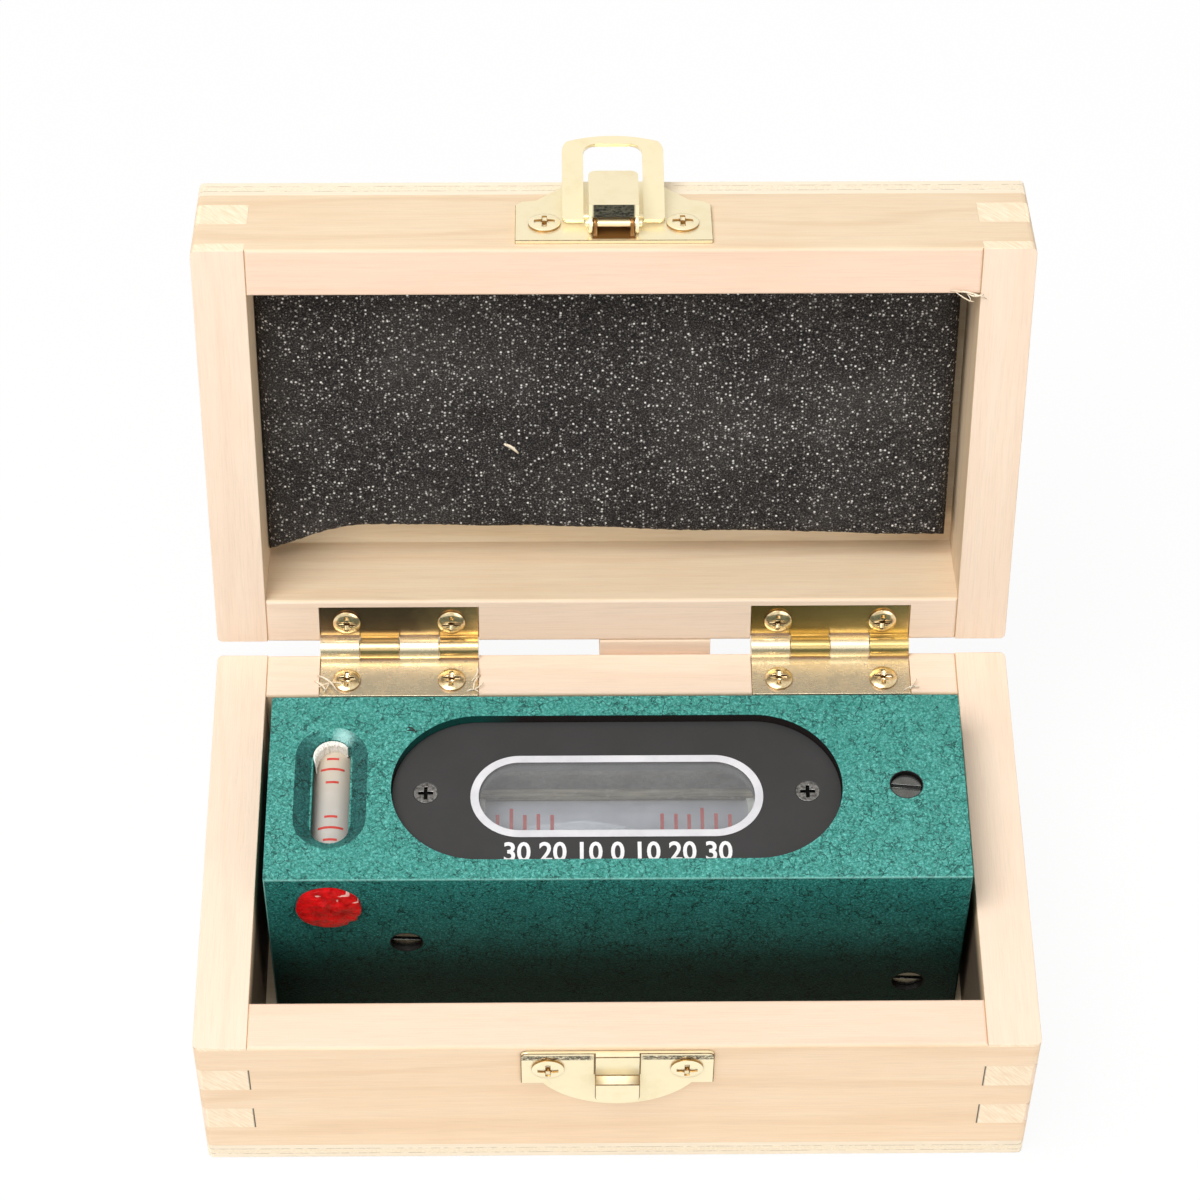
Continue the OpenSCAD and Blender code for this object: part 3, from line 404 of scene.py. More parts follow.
def paint_casting(look, colour, reach, place, z):
    """Bare casting in the hollow below the cover, painted pale: painted light for a hollow that little
    light reaches.
    """
    deep = look.times(look.span(reach, RECESS_R - 0.3, RECESS_R - 0.5),
                     look.span(z, LEVEL_HIGH.z - 3.6, LEVEL_HIGH.z - 3.8))
    casting = look.ramp(look.noise(place, 1.6, 3, 0.6), (0.35, srgb(200, 192, 186)),
                        (0.65, srgb(232, 225, 219)))
    return look.mix(deep, colour, casting)


def paint_look():
    """Green wrinkle paint with fine curved veins outside; painted shade and highlights on its sides,
    pocket, recess and bores, and bare casting in the hollow painted pale as light.
    """
    look = Look("green_wrinkle_paint")
    place = look.place()
    axis = look.parts(place)
    facing = look.facing()
    upright = look.span(look.size(facing[2]), 0.85, 0.5)
    run, cross, reach = recess_frame(look, axis)
    colour, height = paint_coat(look, place, upright)
    colour = paint_sides(look, colour, axis, upright)
    colour = paint_pocket(look, colour, place, facing)
    colour = paint_recess(look, colour, run, cross, reach, axis[2])
    colour = paint_bores(look, colour, place)
    colour = paint_casting(look, colour, reach, place, axis[2])
    gloss = look.span(upright, 0, 1, 0.34, 0.06)
    return look.principled(colour, 0.5, height, 0.10, Specular_IOR_Level=gloss)


def metal_look(name, base, dull, rough_low, rough_high, shine=1.0):
    """Stamped metal with fine scratches and a little tarnish."""
    look = Look(name)
    place = look.place()
    scratch = look.noise(look.vector("MULTIPLY", place, (0.35, 5.0, 5.0)), 1.0, 3, 0.6)
    stain = look.noise(place, 2.6, 4, 0.6)
    pits = look.noise(place, 0.3, 3, 0.7)
    colour = look.mix(look.span(stain, 0.5, 0.75, 0, 0.35), base, dull)
    colour = look.mix(look.span(pits, 0.60, 0.70, 0, 0.35), colour, dull)
    rough = look.span(look.calc("MULTIPLY_ADD", scratch, 0.5, stain), 0.5, 1.0, rough_low, rough_high)
    height = look.calc("MULTIPLY_ADD", pits, 0.5, scratch)
    return look.principled(colour, rough, height, 0.003, Metallic=shine)


def screw_look():
    """Nickel of the cover's screws, with painted shade, near black, in the depth of the cross."""
    look = Look("nickel_screw")
    place = look.place()
    wear = look.noise(place, 0.5, 3, 0.6)
    colour = look.ramp(wear, (0.35, srgb(84, 83, 81)), (0.65, srgb(158, 157, 154)))
    depth = look.span(look.parts(place)[2], COVER_HIGH.z - 0.10, COVER_HIGH.z - 0.22)
    colour = look.mix(depth, colour, srgb(8, 8, 8))
    return look.principled(colour, 0.28, wear, 0.01, Metallic=0.85)


def edge_shade_look():
    """Cut edges of the gilt plates, painted dark brown as a painted reflection of the dark they face."""
    look = Look("shaded_cut_edges")
    wear = look.noise(look.place(), 0.8, 3, 0.6)
    colour = look.ramp(wear, (0.35, srgb(92, 66, 34)), (0.65, srgb(150, 116, 66)))
    return look.principled(colour, 0.5, wear, 0.0, Metallic=0.3)


def gilt_look(name, part="", lid=True):
    """Pale gilt of the latch. part names the piece whose own dark places are added."""
    look = Look(name)
    place = look.place(lid)
    x, _, z = look.parts(place)
    facing = look.facing(lid)
    stain = look.noise(place, 2.6, 4, 0.6)
    speckle = look.noise(look.vector("MULTIPLY", place, (0.7, 1.6, 1.6)), 0.45, 4, 0.75)
    colour = look.mix(look.span(stain, 0.5, 0.75, 0, 0.3), srgb(254, 240, 200), srgb(238, 214, 164))
    across = look.size(x)
    if part == "catch":
        # A dark speckled band beside the tongue, and painted shade on the ledge below the tongue's fold,
        # with a painted highlight along its middle
        top = box_mm("catch_plate")[1].z
        band = look.times(look.span(z, top - 1.7, top - 1.5), look.span(z, top - 0.35, top - 0.6),
                         look.span(across, TONGUE_HALF + 0.1, TONGUE_HALF + 0.4),
                         look.span(speckle, 0.40, 0.50), 0.92)
        colour = look.mix(band, colour, srgb(52, 42, 24))
        ledge = look.times(look.span(facing[2], 0.35, 0.7), look.span(z, top - 2.0, top - 2.4))
        shaded = look.mix(look.span(across, 1.2, 3.0), srgb(214, 199, 166), srgb(132, 112, 78))
        colour = look.mix(ledge, colour, shaded)
    if part == "lever":
        # Painted shade: the lever's downward-facing cut end is nearly black
        lip_shade = look.times(look.span(facing[2], -0.6, -0.85),
                        look.span(across, TONGUE_HALF - 0.15, TONGUE_HALF - 0.45))
        dark = look.ramp(speckle, (0.4, srgb(24, 24, 20)), (0.62, srgb(96, 94, 76)))
        colour = look.mix(lip_shade, colour, dark)
    if part == "plate":
        # Darker brown between the ears, where the lever covers the plate
        hollow = look.times(look.span(across, TONGUE_HALF, TONGUE_HALF - 0.3),
                           look.span(z, LID_RIM + 7.0, LID_RIM + 6.4),
                           look.span(z, LID_RIM + 1.7, LID_RIM + 2.0))
        colour = look.mix(hollow, colour, srgb(150, 104, 52))
    if part == "screw":
        # Painted shade on the heads' sides and the walls of their recesses
        upright = look.span(look.size(facing[1]), 0.86, 0.55)
        colour = look.mix(upright, colour, srgb(166, 124, 62))
    return look.principled(colour, 0.28, speckle, 0.003, Metallic=0.6)


def brass_screw_look(name, lid):
    """Domed brass screw heads, with painted shade on their rims and in the cross."""
    look = Look(name)
    place = look.place(lid)
    up = look.size(look.facing(lid)[2])
    wear = look.noise(place, 0.5, 3, 0.6)
    colour = look.ramp(wear, (0.35, srgb(226, 198, 146)), (0.65, srgb(250, 230, 186)))
    colour = look.mix(look.span(up, 0.80, 0.45), colour, srgb(138, 104, 56))
    return look.principled(colour, 0.2, wear, 0.004, Metallic=0.85)


def leaf_look(node, dark, light, run):
    """Brass of a lid leaf: dark as a painted reflection of the shaded level, golden on its knuckles and
    over the last run millimetres of its end.
    """
    look = Look(node + "_brass")
    place = look.place()
    x, _, z = look.parts(place)
    ragged = 7.0
    right = box_mm(node)[1].x + ragged / 2
    blotch = look.noise(place, 1.4, 4, 0.65)
    end = look.span(look.calc("MULTIPLY_ADD", blotch, ragged, x), right - run, right)
    knuckle = look.span(z, PIN.z / MM + 2.0, PIN.z / MM + 1.2)
    colour = look.mix(look.calc("MAXIMUM", end, knuckle), dark, light)
    height = look.noise(place, 0.3, 3, 0.7)
    return look.principled(colour, 0.24, height, 0.003, Metallic=0.85)


def plain_look(name, dark, light, size, rough, dent):
    """A dull solid whose colour and surface vary softly."""
    look = Look(name)
    place = look.place()
    cloud = look.noise(place, size, 4, 0.6)
    colour = look.ramp(cloud, (0.35, dark), (0.65, light))
    height = look.noise(place, size * 0.3, 3, 0.6)
    return look.principled(colour, rough, height, dent)


def foam_look():
    """Black open-cell foam: cell walls catch the light as small separate sparks."""
    look = Look("black_foam")
    place = look.place(lid=True)
    grain = look.noise(place, 0.24, 3, 0.75)
    patch = look.noise(place, 15, 3, 0.55)
    colour = look.ramp(grain, (0.36, srgb(14, 12, 12)), (0.52, srgb(44, 41, 40)), (0.66, srgb(104, 99, 95)))
    colour = look.mix(look.span(patch, 0.45, 0.75, 0, 0.10), colour, srgb(140, 134, 128))
    for size, share, light in ((0.62, 0.50, srgb(255, 250, 244)), (0.40, 0.58, srgb(190, 184, 178))):
        found = look.node("TexVoronoi", {"Vector": place, "Scale": 1 / size})
        pick = look.parts(found.outputs["Color"])
        drift = look.span(patch, 0.35, 0.7, -0.06, 0.06)
        lit = look.span(look.calc("ADD", pick[0], drift), share, share + 0.08)
        dot = look.span(found.outputs["Distance"], 0.34, 0.18)
        power = look.times(lit, dot, look.span(pick[1], 0, 1, 0.25, 1))
        colour = look.mix(power, colour, light)
    return look.principled(colour, 0.9, grain, 0.2, Specular_IOR_Level=0.2)


def glass_look(name, tint, haze, rough=0.03, milk=(0.9, 0.9, 0.92, 1)):
    """Thin clear stuff: mostly see-through, with the shine of its outer face."""
    look = Look(name)
    smear = look.noise(look.place(), 3.0, 3, 0.5)
    clear = look.node("BsdfTransparent", {"Color": tint}).outputs[0]
    shine = look.node("BsdfGlossy", {"Color": WHITE, "Roughness": rough}).outputs[0]
    cloud = look.node("BsdfDiffuse", {"Color": milk}).outputs[0]
    outer = look.minus(1.0, look.node("NewGeometry").outputs["Backfacing"])
    fresnel = look.times(look.node("Fresnel", {"IOR": 1.45}).outputs[0], outer)
    veil = look.times(look.span(smear, 0.25, 0.75, haze * 0.8, haze), outer)
    base = look.node("MixShader", {0: veil, 1: clear, 2: cloud}).outputs[0]
    return look.finish(look.node("MixShader", {0: fresnel, 1: base, 2: shine}).outputs[0])


def wax_look():
    """Crumpled red wax with a few pale glints near its top."""
    look = Look("red_sealing_wax")
    place = look.place()
    x, _, z = look.parts(place)
    cloud = look.noise(place, 1.8, 4, 0.6)
    crumple = look.noise(place, 0.8, 4, 0.65, 0.8)
    colour = look.ramp(cloud, (0.32, srgb(158, 4, 8)), (0.6, srgb(222, 12, 18)))
    for spot_x, spot_z, wide, high in ((-42.0, 35.6, 0.45, 0.16), (-37.9, 35.6, 1.1, 0.22),
                                       (-39.4, 34.3, 0.16, 0.4), (-36.6, 33.9, 0.6, 0.14)):
        aside = look.calc("DIVIDE", look.minus(x, spot_x), wide)
        above = look.calc("DIVIDE", look.minus(z, spot_z), high)
        far = look.calc("ADD", look.times(aside, aside), look.times(above, above))
        far = look.calc("ADD", far, look.span(crumple, 0.3, 0.7, -0.7, 0.7))
        colour = look.mix(look.span(far, 1.2, 0.5, 0, 0.8), colour, srgb(255, 214, 200))
    return look.principled(colour, 0.24, crumple, 0.22, Specular_IOR_Level=0.3)


def rim_look():
    """White enamel of the window's rim, with painted shade, grey, where it turns down to the glass."""
    look = Look("white_rim")
    place = look.place()
    cloud = look.noise(place, 4.0, 4, 0.6)
    colour = look.ramp(cloud, (0.35, srgb(204, 203, 206)), (0.65, srgb(219, 218, 220)))
    upright = look.span(look.size(look.facing()[2]), 0.8, 0.4)
    colour = look.mix(upright, colour, srgb(112, 110, 110))
    height = look.noise(place, 1.2, 3, 0.6)
    return look.principled(colour, 0.4, height, 0.004, Specular_IOR_Level=0.4)


def tube_look():
    """Drawn metal tube, olive-brown with lengthwise streaks: a painted reflection of the wooden case."""
    look = Look("vial_tube")
    place = look.place()
    streak = look.noise(look.vector("MULTIPLY", place, (0.12, 1.6, 1.6)), 1.0, 4, 0.65)
    blotch = look.noise(place, 1.8, 3, 0.6)
    colour = look.ramp(streak, (0.34, srgb(128, 116, 94)), (0.62, srgb(206, 193, 165)))
    colour = look.mix(look.span(blotch, 0.55, 0.7, 0, 0.5), colour, srgb(226, 218, 200))
    return look.principled(colour, 0.28, streak, 0.03, Metallic=0.35)


def frosted_look():
    """Ground glass of the cross vial, warmer toward its far end."""
    look = Look("frosted_vial")
    place = look.place()
    y = look.parts(place)[1]
    cloud = look.noise(place, 2.4, 3, 0.5)
    warm = look.span(look.calc("MULTIPLY_ADD", cloud, 4.0, y), 5.0, 15.0)
    colour = look.mix(warm, srgb(188, 182, 174), srgb(206, 190, 168))
    colour = look.mix(look.span(cloud, 0.55, 0.75, 0, 0.4), colour, srgb(204, 200, 194))
    height = look.noise(place, 0.2, 2, 0.6)
    return look.principled(colour, 0.3, height, 0.006, Coat_Weight=0.3)


def floor_look():
    """White floor that shows as white, and keeps a faint shadow of what stands on it."""
    look = Look("studio_floor")
    matt = look.node("BsdfDiffuse", {"Color": srgb(235, 235, 235)}).outputs[0]
    bright = look.node("Emission", {"Color": WHITE, "Strength": 1.0}).outputs[0]
    share = look.times(look.seen(), 0.93)
    return look.finish(look.node("MixShader", {0: share, 1: matt, 2: bright}).outputs[0])


# Studio: camera, lamps, floor and world

def make_camera():
    """The camera fitted to the case's corners in the photograph."""
    yaw, pitch, roll = math.radians(1.012), math.radians(51.942), math.radians(0.549)
    ahead = Vector((math.sin(yaw) * math.cos(pitch), math.cos(yaw) * math.cos(pitch), -math.sin(pitch)))
    right = Vector((math.cos(yaw), -math.sin(yaw), 0))
    upward = right.cross(ahead)
    right, upward = (right * math.cos(roll) + upward * math.sin(roll),
                     upward * math.cos(roll) - right * math.sin(roll))
    camera = bpy.data.objects.new("camera", bpy.data.cameras.new("camera"))
    bpy.context.scene.collection.objects.link(camera)
    turn = Matrix((right, upward, -ahead)).transposed().to_4x4()
    camera.matrix_world = Matrix.Translation(Vector((-7.886, -307.891, 480.114)) * MM) @ turn
    camera.data.sensor_width = 36
    camera.data.lens = 113.17
    camera.data.clip_start = 0.01
    bpy.context.scene.camera = camera


def add_lamp(name, place, aim, size, power):
    """A square soft lamp at place, in metres, aimed at a point."""
    lamp = bpy.data.lights.new(name, "AREA")
    lamp.size = size
    lamp.energy = power
    thing = bpy.data.objects.new(name, lamp)
    bpy.context.scene.collection.objects.link(thing)
    thing.location = place
    way = Vector(aim) - Vector(place)
    thing.rotation_euler = way.to_track_quat("-Z", "Y").to_euler()


def make_world(ambient):
    """Dim light from all round, which the camera, metal and glass see at its full strength."""
    look = Look("studio", world=True)
    strength = look.span(look.seen(), 0.0, 1.0, ambient, 1.0)
    background = look.node("Background", {"Strength": strength}).outputs[0]
    look.node("OutputWorld", {"Surface": background})
    bpy.context.scene.world = look.made


def make_floor():
    """A floor far wider than the view, a hair below the case."""
    half = 3.0
    mesh = bpy.data.meshes.new("studio_floor")
    corners = [(-half, -half, 0), (half, -half, 0), (half, half, 0), (-half, half, 0)]
    mesh.from_pydata(corners, [], [(0, 1, 2, 3)])
    floor = bpy.data.objects.new("studio_floor", mesh)
    floor.data.materials.append(floor_look())
    floor.location.z = -0.0002
    bpy.context.scene.collection.objects.link(floor)


def make_studio():
    bpy.context.scene.view_settings.view_transform = "Standard"
    make_camera()
    make_world(0.56)
    add_lamp("key", (-0.30, -0.22, 0.95), (0, 0.01, 0.03), 0.7, 9.4)
    add_lamp("fill", (0.5, -0.75, 0.5), (0, 0, 0.03), 0.6, 2.2)
    make_floor()


# Mesh helpers

def add_piece(name, mesh, material, body, smooth=True):
    """Links a mesh made in the case's frame as a piece that rides on a body."""
    piece = bpy.data.objects.new(name, mesh)
    bpy.context.scene.collection.objects.link(piece)
    mesh.materials.clear()
    mesh.materials.append(material)
    for face in mesh.polygons:
        face.use_smooth = smooth
    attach(piece, body)
    return piece


def mesh_of(work, name):
    """Turns a bmesh into a mesh, and frees it."""
    mesh = bpy.data.meshes.new(name)
    work.normal_update()
    work.to_mesh(mesh)
    work.free()
    return mesh


def add_solid(name, work, material, body, smooth=True):
    """Adds a closed shape as a piece, with its faces turned outward."""
    bmesh.ops.recalc_face_normals(work, faces=work.faces)
    return add_piece(name, mesh_of(work, name), material, body, smooth)


def clean_copy(node):
    """A CAD node's shape with its triangles merged back into flat faces."""
    work = bmesh.new()
    work.from_mesh(nodes[node].data)
    bmesh.ops.remove_doubles(work, verts=work.verts, dist=WELD_GAP * MM)
    bmesh.ops.dissolve_limit(work, angle_limit=FLAT_TURN, verts=work.verts, edges=work.edges)
    return work


def even_shading(piece):
    """Lets flat faces look flat beside their rounded edges."""
    largest_rounded = 3 * MM * MM
    piece.data.set_sharp_from_angle(angle=math.radians(50))
    for face in piece.data.polygons:
        if face.area > largest_rounded:
            face.use_smooth = False
    piece.modifiers.new("even", "WEIGHTED_NORMAL").keep_sharp = True


def skin(work, rings):
    """Faces between rings of vertices, each of which is closed upon itself."""
    for first, second in zip(rings, rings[1:]):
        for side in range(len(first)):
            after = (side + 1) % len(first)
            work.faces.new((first[side], first[after], second[after], second[side]))


def outward_corners(work):
    """Edges where two faces of a shape meet in a corner that stands out."""
    return [edge for edge in work.edges if len(edge.link_faces) == 2 and edge.is_convex
            and edge.calc_face_angle(0) > math.radians(30)]


# Case

def near(value, target):
    return abs(value - target) < 0.02


def sanded_width(middle, way, lid):
    """How wide an edge is rounded: upright corners, rims and the small breaks at the joints."""
    if lid:
        middle = shut(middle)
        way = Matrix.Rotation(LID_OPEN, 3, "X") @ way
    x, y, z = middle / MM
    at_end = near(abs(x), CASE_HIGH.x)
    at_side = near(abs(y), CASE_HIGH.y)
    if at_end and at_side and abs(way.z) > 0.9:
        return CORNER
    flat_edge = near(z, 0) or near(z, TRAY_TOP) or z > LID_TOP - 0.02 or near(z, LID_RIM)
    inner = near(abs(x), CASE_HIGH.x - WALL) or near(abs(y), CASE_HIGH.y - WALL)
    if flat_edge and abs(way.z) < 0.3 and (at_end or at_side or inner):
        return RIM
    return JOINT


def sand(work, lid):
    """Rounds the outward corners, the wide ones first."""
    for width in (CORNER, RIM, JOINT):
        chosen = []
        for edge in outward_corners(work):
            start, end = (vert.co for vert in edge.verts)
            if sanded_width((start + end) / 2, (end - start).normalized(), lid) == width:
                chosen.append(edge)
        if chosen:
            bmesh.ops.bevel(work, geom=chosen, offset=width * MM, segments=3, profile=0.5,
                            affect="EDGES", clamp_overlap=True)


def make_board(node, material):
    """A wall or panel of the case with sanded edges, in the place of its CAD node."""
    work = clean_copy(node)
    lid = node.startswith("lid")
    sand(work, lid)
    piece = add_piece(node + "_board", mesh_of(work, node), material, "lid" if lid else "case_tray")
    even_shading(piece)
    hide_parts(node)


def make_case():
    """All boards of tray and lid. Each has the axis of its grain and a seed."""
    boards = (("tray_front_wall", 0, 1), ("tray_back_wall", 0, 2), ("tray_left_wall", 1, 3),
              ("tray_right_wall", 1, 4), ("lid_front_wall", 0, 5), ("lid_back_wall", 0, 6),
              ("lid_left_wall", 1, 7), ("lid_right_wall", 1, 8), ("lid_stop_block", 0, 9))
    for node, along, seed in boards:
        # The tray's side walls get painted shade in the gaps beside the level
        shaded_gap = node in ("tray_left_wall", "tray_right_wall")
        make_board(node, wood_look(node + "_wood", along, node.startswith("lid"), seed, shaded_gap))
    make_board("tray_bottom", ply_look("bottom_ply", 0.0, False, 1))
    make_board("lid_top_panel", ply_look("lid_ply", LID_TOP - PLY, True, 2))


# Foam pad of the lid

FOAM_STEP = 0.6
# Where the pad's torn back edge lies from the drawn one
FOAM_EDGE = -2.0
# How far in from its edges the pad is rounded off, and by how much
FOAM_ROUND = 1.6
FOAM_DROP = 1.3


def foam_back_edge(x):
    """How far the pad's back edge leaves its straight line, at a place along the lid."""
    corner = 5.4 * hump(x + 54, 10)
    slope = 0.028 * (x + 24)
    fringe = 0.22 * field.noise(Vector((x * 1.3, 4, 0))) + 0.12 * math.sin(x / 5.1)
    return FOAM_EDGE + corner + slope + fringe


def foam_height(x, y, rim):
    """How far the pad's face lies behind its foremost plane, with rim the distance from its edge."""
    drop = max(0.0, 1 - rim / FOAM_ROUND) ** 2 * FOAM_DROP
    fine = field.noise(Vector((x, y, 3)) / 1.1) * 0.12
    broad = field.noise(Vector((x, y, 8)) / 9) * 0.3
    return 0.25 + drop + fine + broad


def make_foam():
    """The lid's pad: a lumpy face with rounded edges, and sides back to the lid."""
    low, high = shut_box_mm("lid_foam_pad")
    columns = int((high.x - low.x) / FOAM_STEP)
    rows = int((high.y - low.y) / FOAM_STEP)
    work = bmesh.new()
    grid = []
    for row in range(rows + 1):
        line = []
        for column in range(columns + 1):
            x = low.x + (high.x - low.x) * column / columns
            far = high.y + foam_back_edge(x)
            y = low.y + (far - low.y) * row / rows
            rim = min(x - low.x, high.x - x, y - low.y, far - y)
            z = low.z + foam_height(x, y, rim)
            line.append(work.verts.new(opened(Vector((x, y, z)) * MM)))
        grid.append(line)
    for row in range(rows):
        for column in range(columns):
            work.faces.new((grid[row][column], grid[row + 1][column],
                            grid[row + 1][column + 1], grid[row][column + 1]))
    border = [edge for edge in work.edges if len(edge.link_faces) == 1]
    wall = bmesh.ops.extrude_edge_only(work, edges=border)
    for vert in [item for item in wall["geom"] if isinstance(item, bmesh.types.BMVert)]:
        point = shut(vert.co)
        point.z = (high.z - 0.05) * MM
        vert.co = opened(point)
    rim_edges = [edge for edge in work.edges if len(edge.link_faces) == 1]
    bmesh.ops.holes_fill(work, edges=rim_edges)
    foam = add_solid("foam_pad", work, foam_look(), "lid")
    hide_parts("lid_foam_pad")


# Metal parts keep their CAD shape, with softened edges

def dress(node, material, width, segments=2, limit=40):
    """Gives a CAD node its material, and rounds its edges over limit degrees to width millimetres."""
    thing = nodes[node]
    for slot in thing.material_slots:
        slot.material = material
    thing.modifiers.new("weld", "WELD").merge_threshold = WELD_GAP * MM
    flat = thing.modifiers.new("flat", "DECIMATE")
    flat.decimate_type = "DISSOLVE"
    flat.angle_limit = FLAT_TURN
    if width > 0:
        bevel = thing.modifiers.new("bevel", "BEVEL")
        bevel.width = width * MM
        bevel.segments = segments
        bevel.limit_method = "ANGLE"
        bevel.angle_limit = math.radians(limit)
    thing.modifiers.new("even", "WEIGHTED_NORMAL")


def outline(node, material):
    """Gives a dressed part's rounded edges a material of their own."""
    thing = nodes[node]
    thing.data.materials.append(material)
    thing.modifiers["bevel"].material = len(thing.data.materials) - 1


def make_metal():
    brass = metal_look("hinge_brass", srgb(240, 219, 178), srgb(196, 166, 122), 0.17, 0.32, shine=0.8)
    pale = metal_look("leaf_brass", srgb(252, 235, 200), srgb(216, 188, 146), 0.2, 0.34, shine=0.7)
    steel = metal_look("dark_steel", srgb(122, 124, 121), srgb(58, 57, 55), 0.18, 0.34)
    # A painted dark reflection for the rounded edges of the latch's gilt parts
    edges = edge_shade_look()
    gilt = gilt_look("pale_gilt")
    # The lid leaves' dark colour is a painted reflection of the shaded level
    for node, dark, light, run in (("lid_leaf_left", srgb(132, 112, 86), srgb(226, 198, 140), 10),
                                   ("lid_leaf_right", srgb(160, 132, 72), srgb(228, 200, 132), 26)):
        dress(node, leaf_look(node, dark, light, run), 0.10)
    for node in ("tray_leaf_left", "tray_leaf_right"):
        dress(node, pale, 0.10)
    dress("hinge_pins", brass, 0.07)
    for node, lid in (("tray_hinge_screws", False), ("lid_hinge_screws", True)):
        dress(node, brass_screw_look(node + "_brass", lid), 0.06, 1)
    for node, look, width in (
            ("catch_plate", gilt_look("catch_gilt", "catch", False), 0.13), ("latch_loop", gilt, 0.13),
            ("hasp_plate", gilt_look("hasp_gilt", "plate"), 0.13),
            ("latch_lever", gilt_look("lever_gilt", "lever"), 0.13),
            ("catch_screws", gilt_look("catch_screws_gilt", "screw", False), 0.07),
            ("hasp_screws", gilt_look("hasp_screws_gilt", "screw"), 0.07)):
        dress(node, look, width, 1)
        outline(node, edges)
    dress("lever_pin", gilt, 0.07)
    for node in ("pivot_screw", "lock_screw", "adjusting_screw", "adjusting_ring"):
        dress(node, steel, 0.08)
    dress("cover_screws", screw_look(), 0.08)


# The level

def make_level():
    dress("level_body", paint_look(), 0.16, limit=24)
    black = plain_look("black_cover", srgb(42, 42, 41), srgb(47, 46, 46), 9.0, 0.5, 0.004)
    dress("cover_plate", black, 0.12)
    dress("window_bezel", rim_look(), 0.04)
    dress("window_lens", glass_look("window_glass", srgb(240, 243, 243), 0.13), 0.0)
    dress("vial_carrier", tube_look(), 0.1)
    milk = srgb(205, 200, 208)
    dress("main_vial_glass", glass_look("vial_glass", srgb(236, 236, 242), 0.8, 0.06, milk), 0.0)
    liquid = plain_look("vial_liquid", srgb(176, 172, 184), srgb(198, 194, 204), 6.0, 0.12, 0.0)
    dress("main_vial_liquid", liquid, 0.0)
    dress("main_bubble", glass_look("bubble_skin", srgb(246, 250, 250), 0.1), 0.0)
    plaster = plain_look("plaster", srgb(232, 226, 214), srgb(250, 246, 238), 1.4, 0.8, 0.15)
    dress("vial_end_plugs", plaster, 0.0)
    dress("cross_vial_plaster", plaster, 0.05)
    dress("cross_vial_glass", frosted_look(), 0.05)
    dress("cross_vial_liquid", liquid, 0.0)
    dress("cross_bubble", glass_look("cross_bubble_skin", srgb(246, 250, 250), 0.1), 0.0)
    make_seal()
    make_main_marks()
    make_cross_marks()
    make_plaster_crumbs(plaster)
    make_numbers()


def draw_marks(name, glass, along, marks, half, ink, body):
    """Strips of ink on a round vial. Each of marks has its place along the vial and two end angles."""
    low, high = box_mm(glass)
    centre = (low + high) / 2
    centre[along] = 0
    radius = (high - low)[0 if along == 1 else 2] / 2 + 0.02
    ahead, across = Vector(), Vector()
    ahead[along] = across[1 - along] = 1
    work = bmesh.new()
    steps = 14
    for place, start, end in marks:
        rails = []
        for step in range(steps + 1):
            turn = math.radians(start + (end - start) * step / steps)
            out = across * math.sin(turn) + Vector((0, 0, 1)) * math.cos(turn)
            spot = centre + out * radius + ahead * place
            rails.append([work.verts.new((spot + ahead * aside) * MM) for aside in (-half, half)])
        for first, second in zip(rails, rails[1:]):
            work.faces.new((first[0], first[1], second[1], second[0]))
    add_piece(name, mesh_of(work, name), ink, body, False)


def make_main_marks():
    """Red graduations that run down the front of the main vial."""
    red = plain_look("red_ink", srgb(168, 22, 12), srgb(192, 42, 30), 0.6, 0.5, 0.01)
    tall = (-14.9, 12.7)
    marks = []
    for x in (-16.9, -14.9, -12.95, -11.0, -9.0, 6.9, 8.9, 10.8, 12.7, 14.7, 16.7):
        marks.append((x, 15 if x in tall else 1.5 + random.uniform(-2, 2), -75))
    draw_marks("vial_marks", "main_vial_glass", 0, marks, 0.26, red, "vial_carrier")


def make_cross_marks():
    """Red arcs over the top of the cross vial."""
    red = plain_look("red_arc_ink", srgb(190, 52, 44), srgb(208, 74, 64), 0.6, 0.5, 0.01)
    arcs = ((11.2, 15), (9.4, 30), (7.1, 16), (1.1, 16), (-0.8, 32), (-2.9, 17))
    marks = [(y, -turn, turn) for y, turn in arcs]
    draw_marks("cross_marks", "cross_vial_glass", 1, marks, 0.2, red, "level")


def make_plaster_crumbs(material):
    """Broken plaster that shows between the cross vial and the far end of its slot."""
    low, high = box_mm("cross_vial_glass")
    middle = Vector(((low.x + high.x) / 2, 10.35, 0))
    slot_r = 2.72
    top, bottom = LEVEL_HIGH.z - 1.25, high.z - 0.6
    work = bmesh.new()
    rings = []
    steps = 44
    for step in range(steps + 1):
        turn = math.radians(35 + 175 * step / steps)
        swell = math.sin(math.pi * step / steps)
        rough = field.noise(Vector((step * 0.55, 3.0, 1.0)))
        width = max(0.06, 0.12 + 0.55 * swell ** 0.6 + 0.42 * rough * swell)
        crown = top + 0.25 * field.noise(Vector((step * 0.8, 9.0, 4.0)))
        away = Vector((math.cos(turn), math.sin(turn), 0))
        ring = []
        for share, z in ((1, bottom), (1, crown - 0.35), (0.5, crown), (0, top), (0, bottom)):
            spot = middle + away * (slot_r - width * share)
            ring.append(work.verts.new(Vector((spot.x, spot.y, z)) * MM))
        rings.append(ring)
    skin(work, rings)
    work.faces.new(rings[0])
    work.faces.new(rings[-1][::-1])
    add_solid("plaster_crumbs", work, material, "level", False)


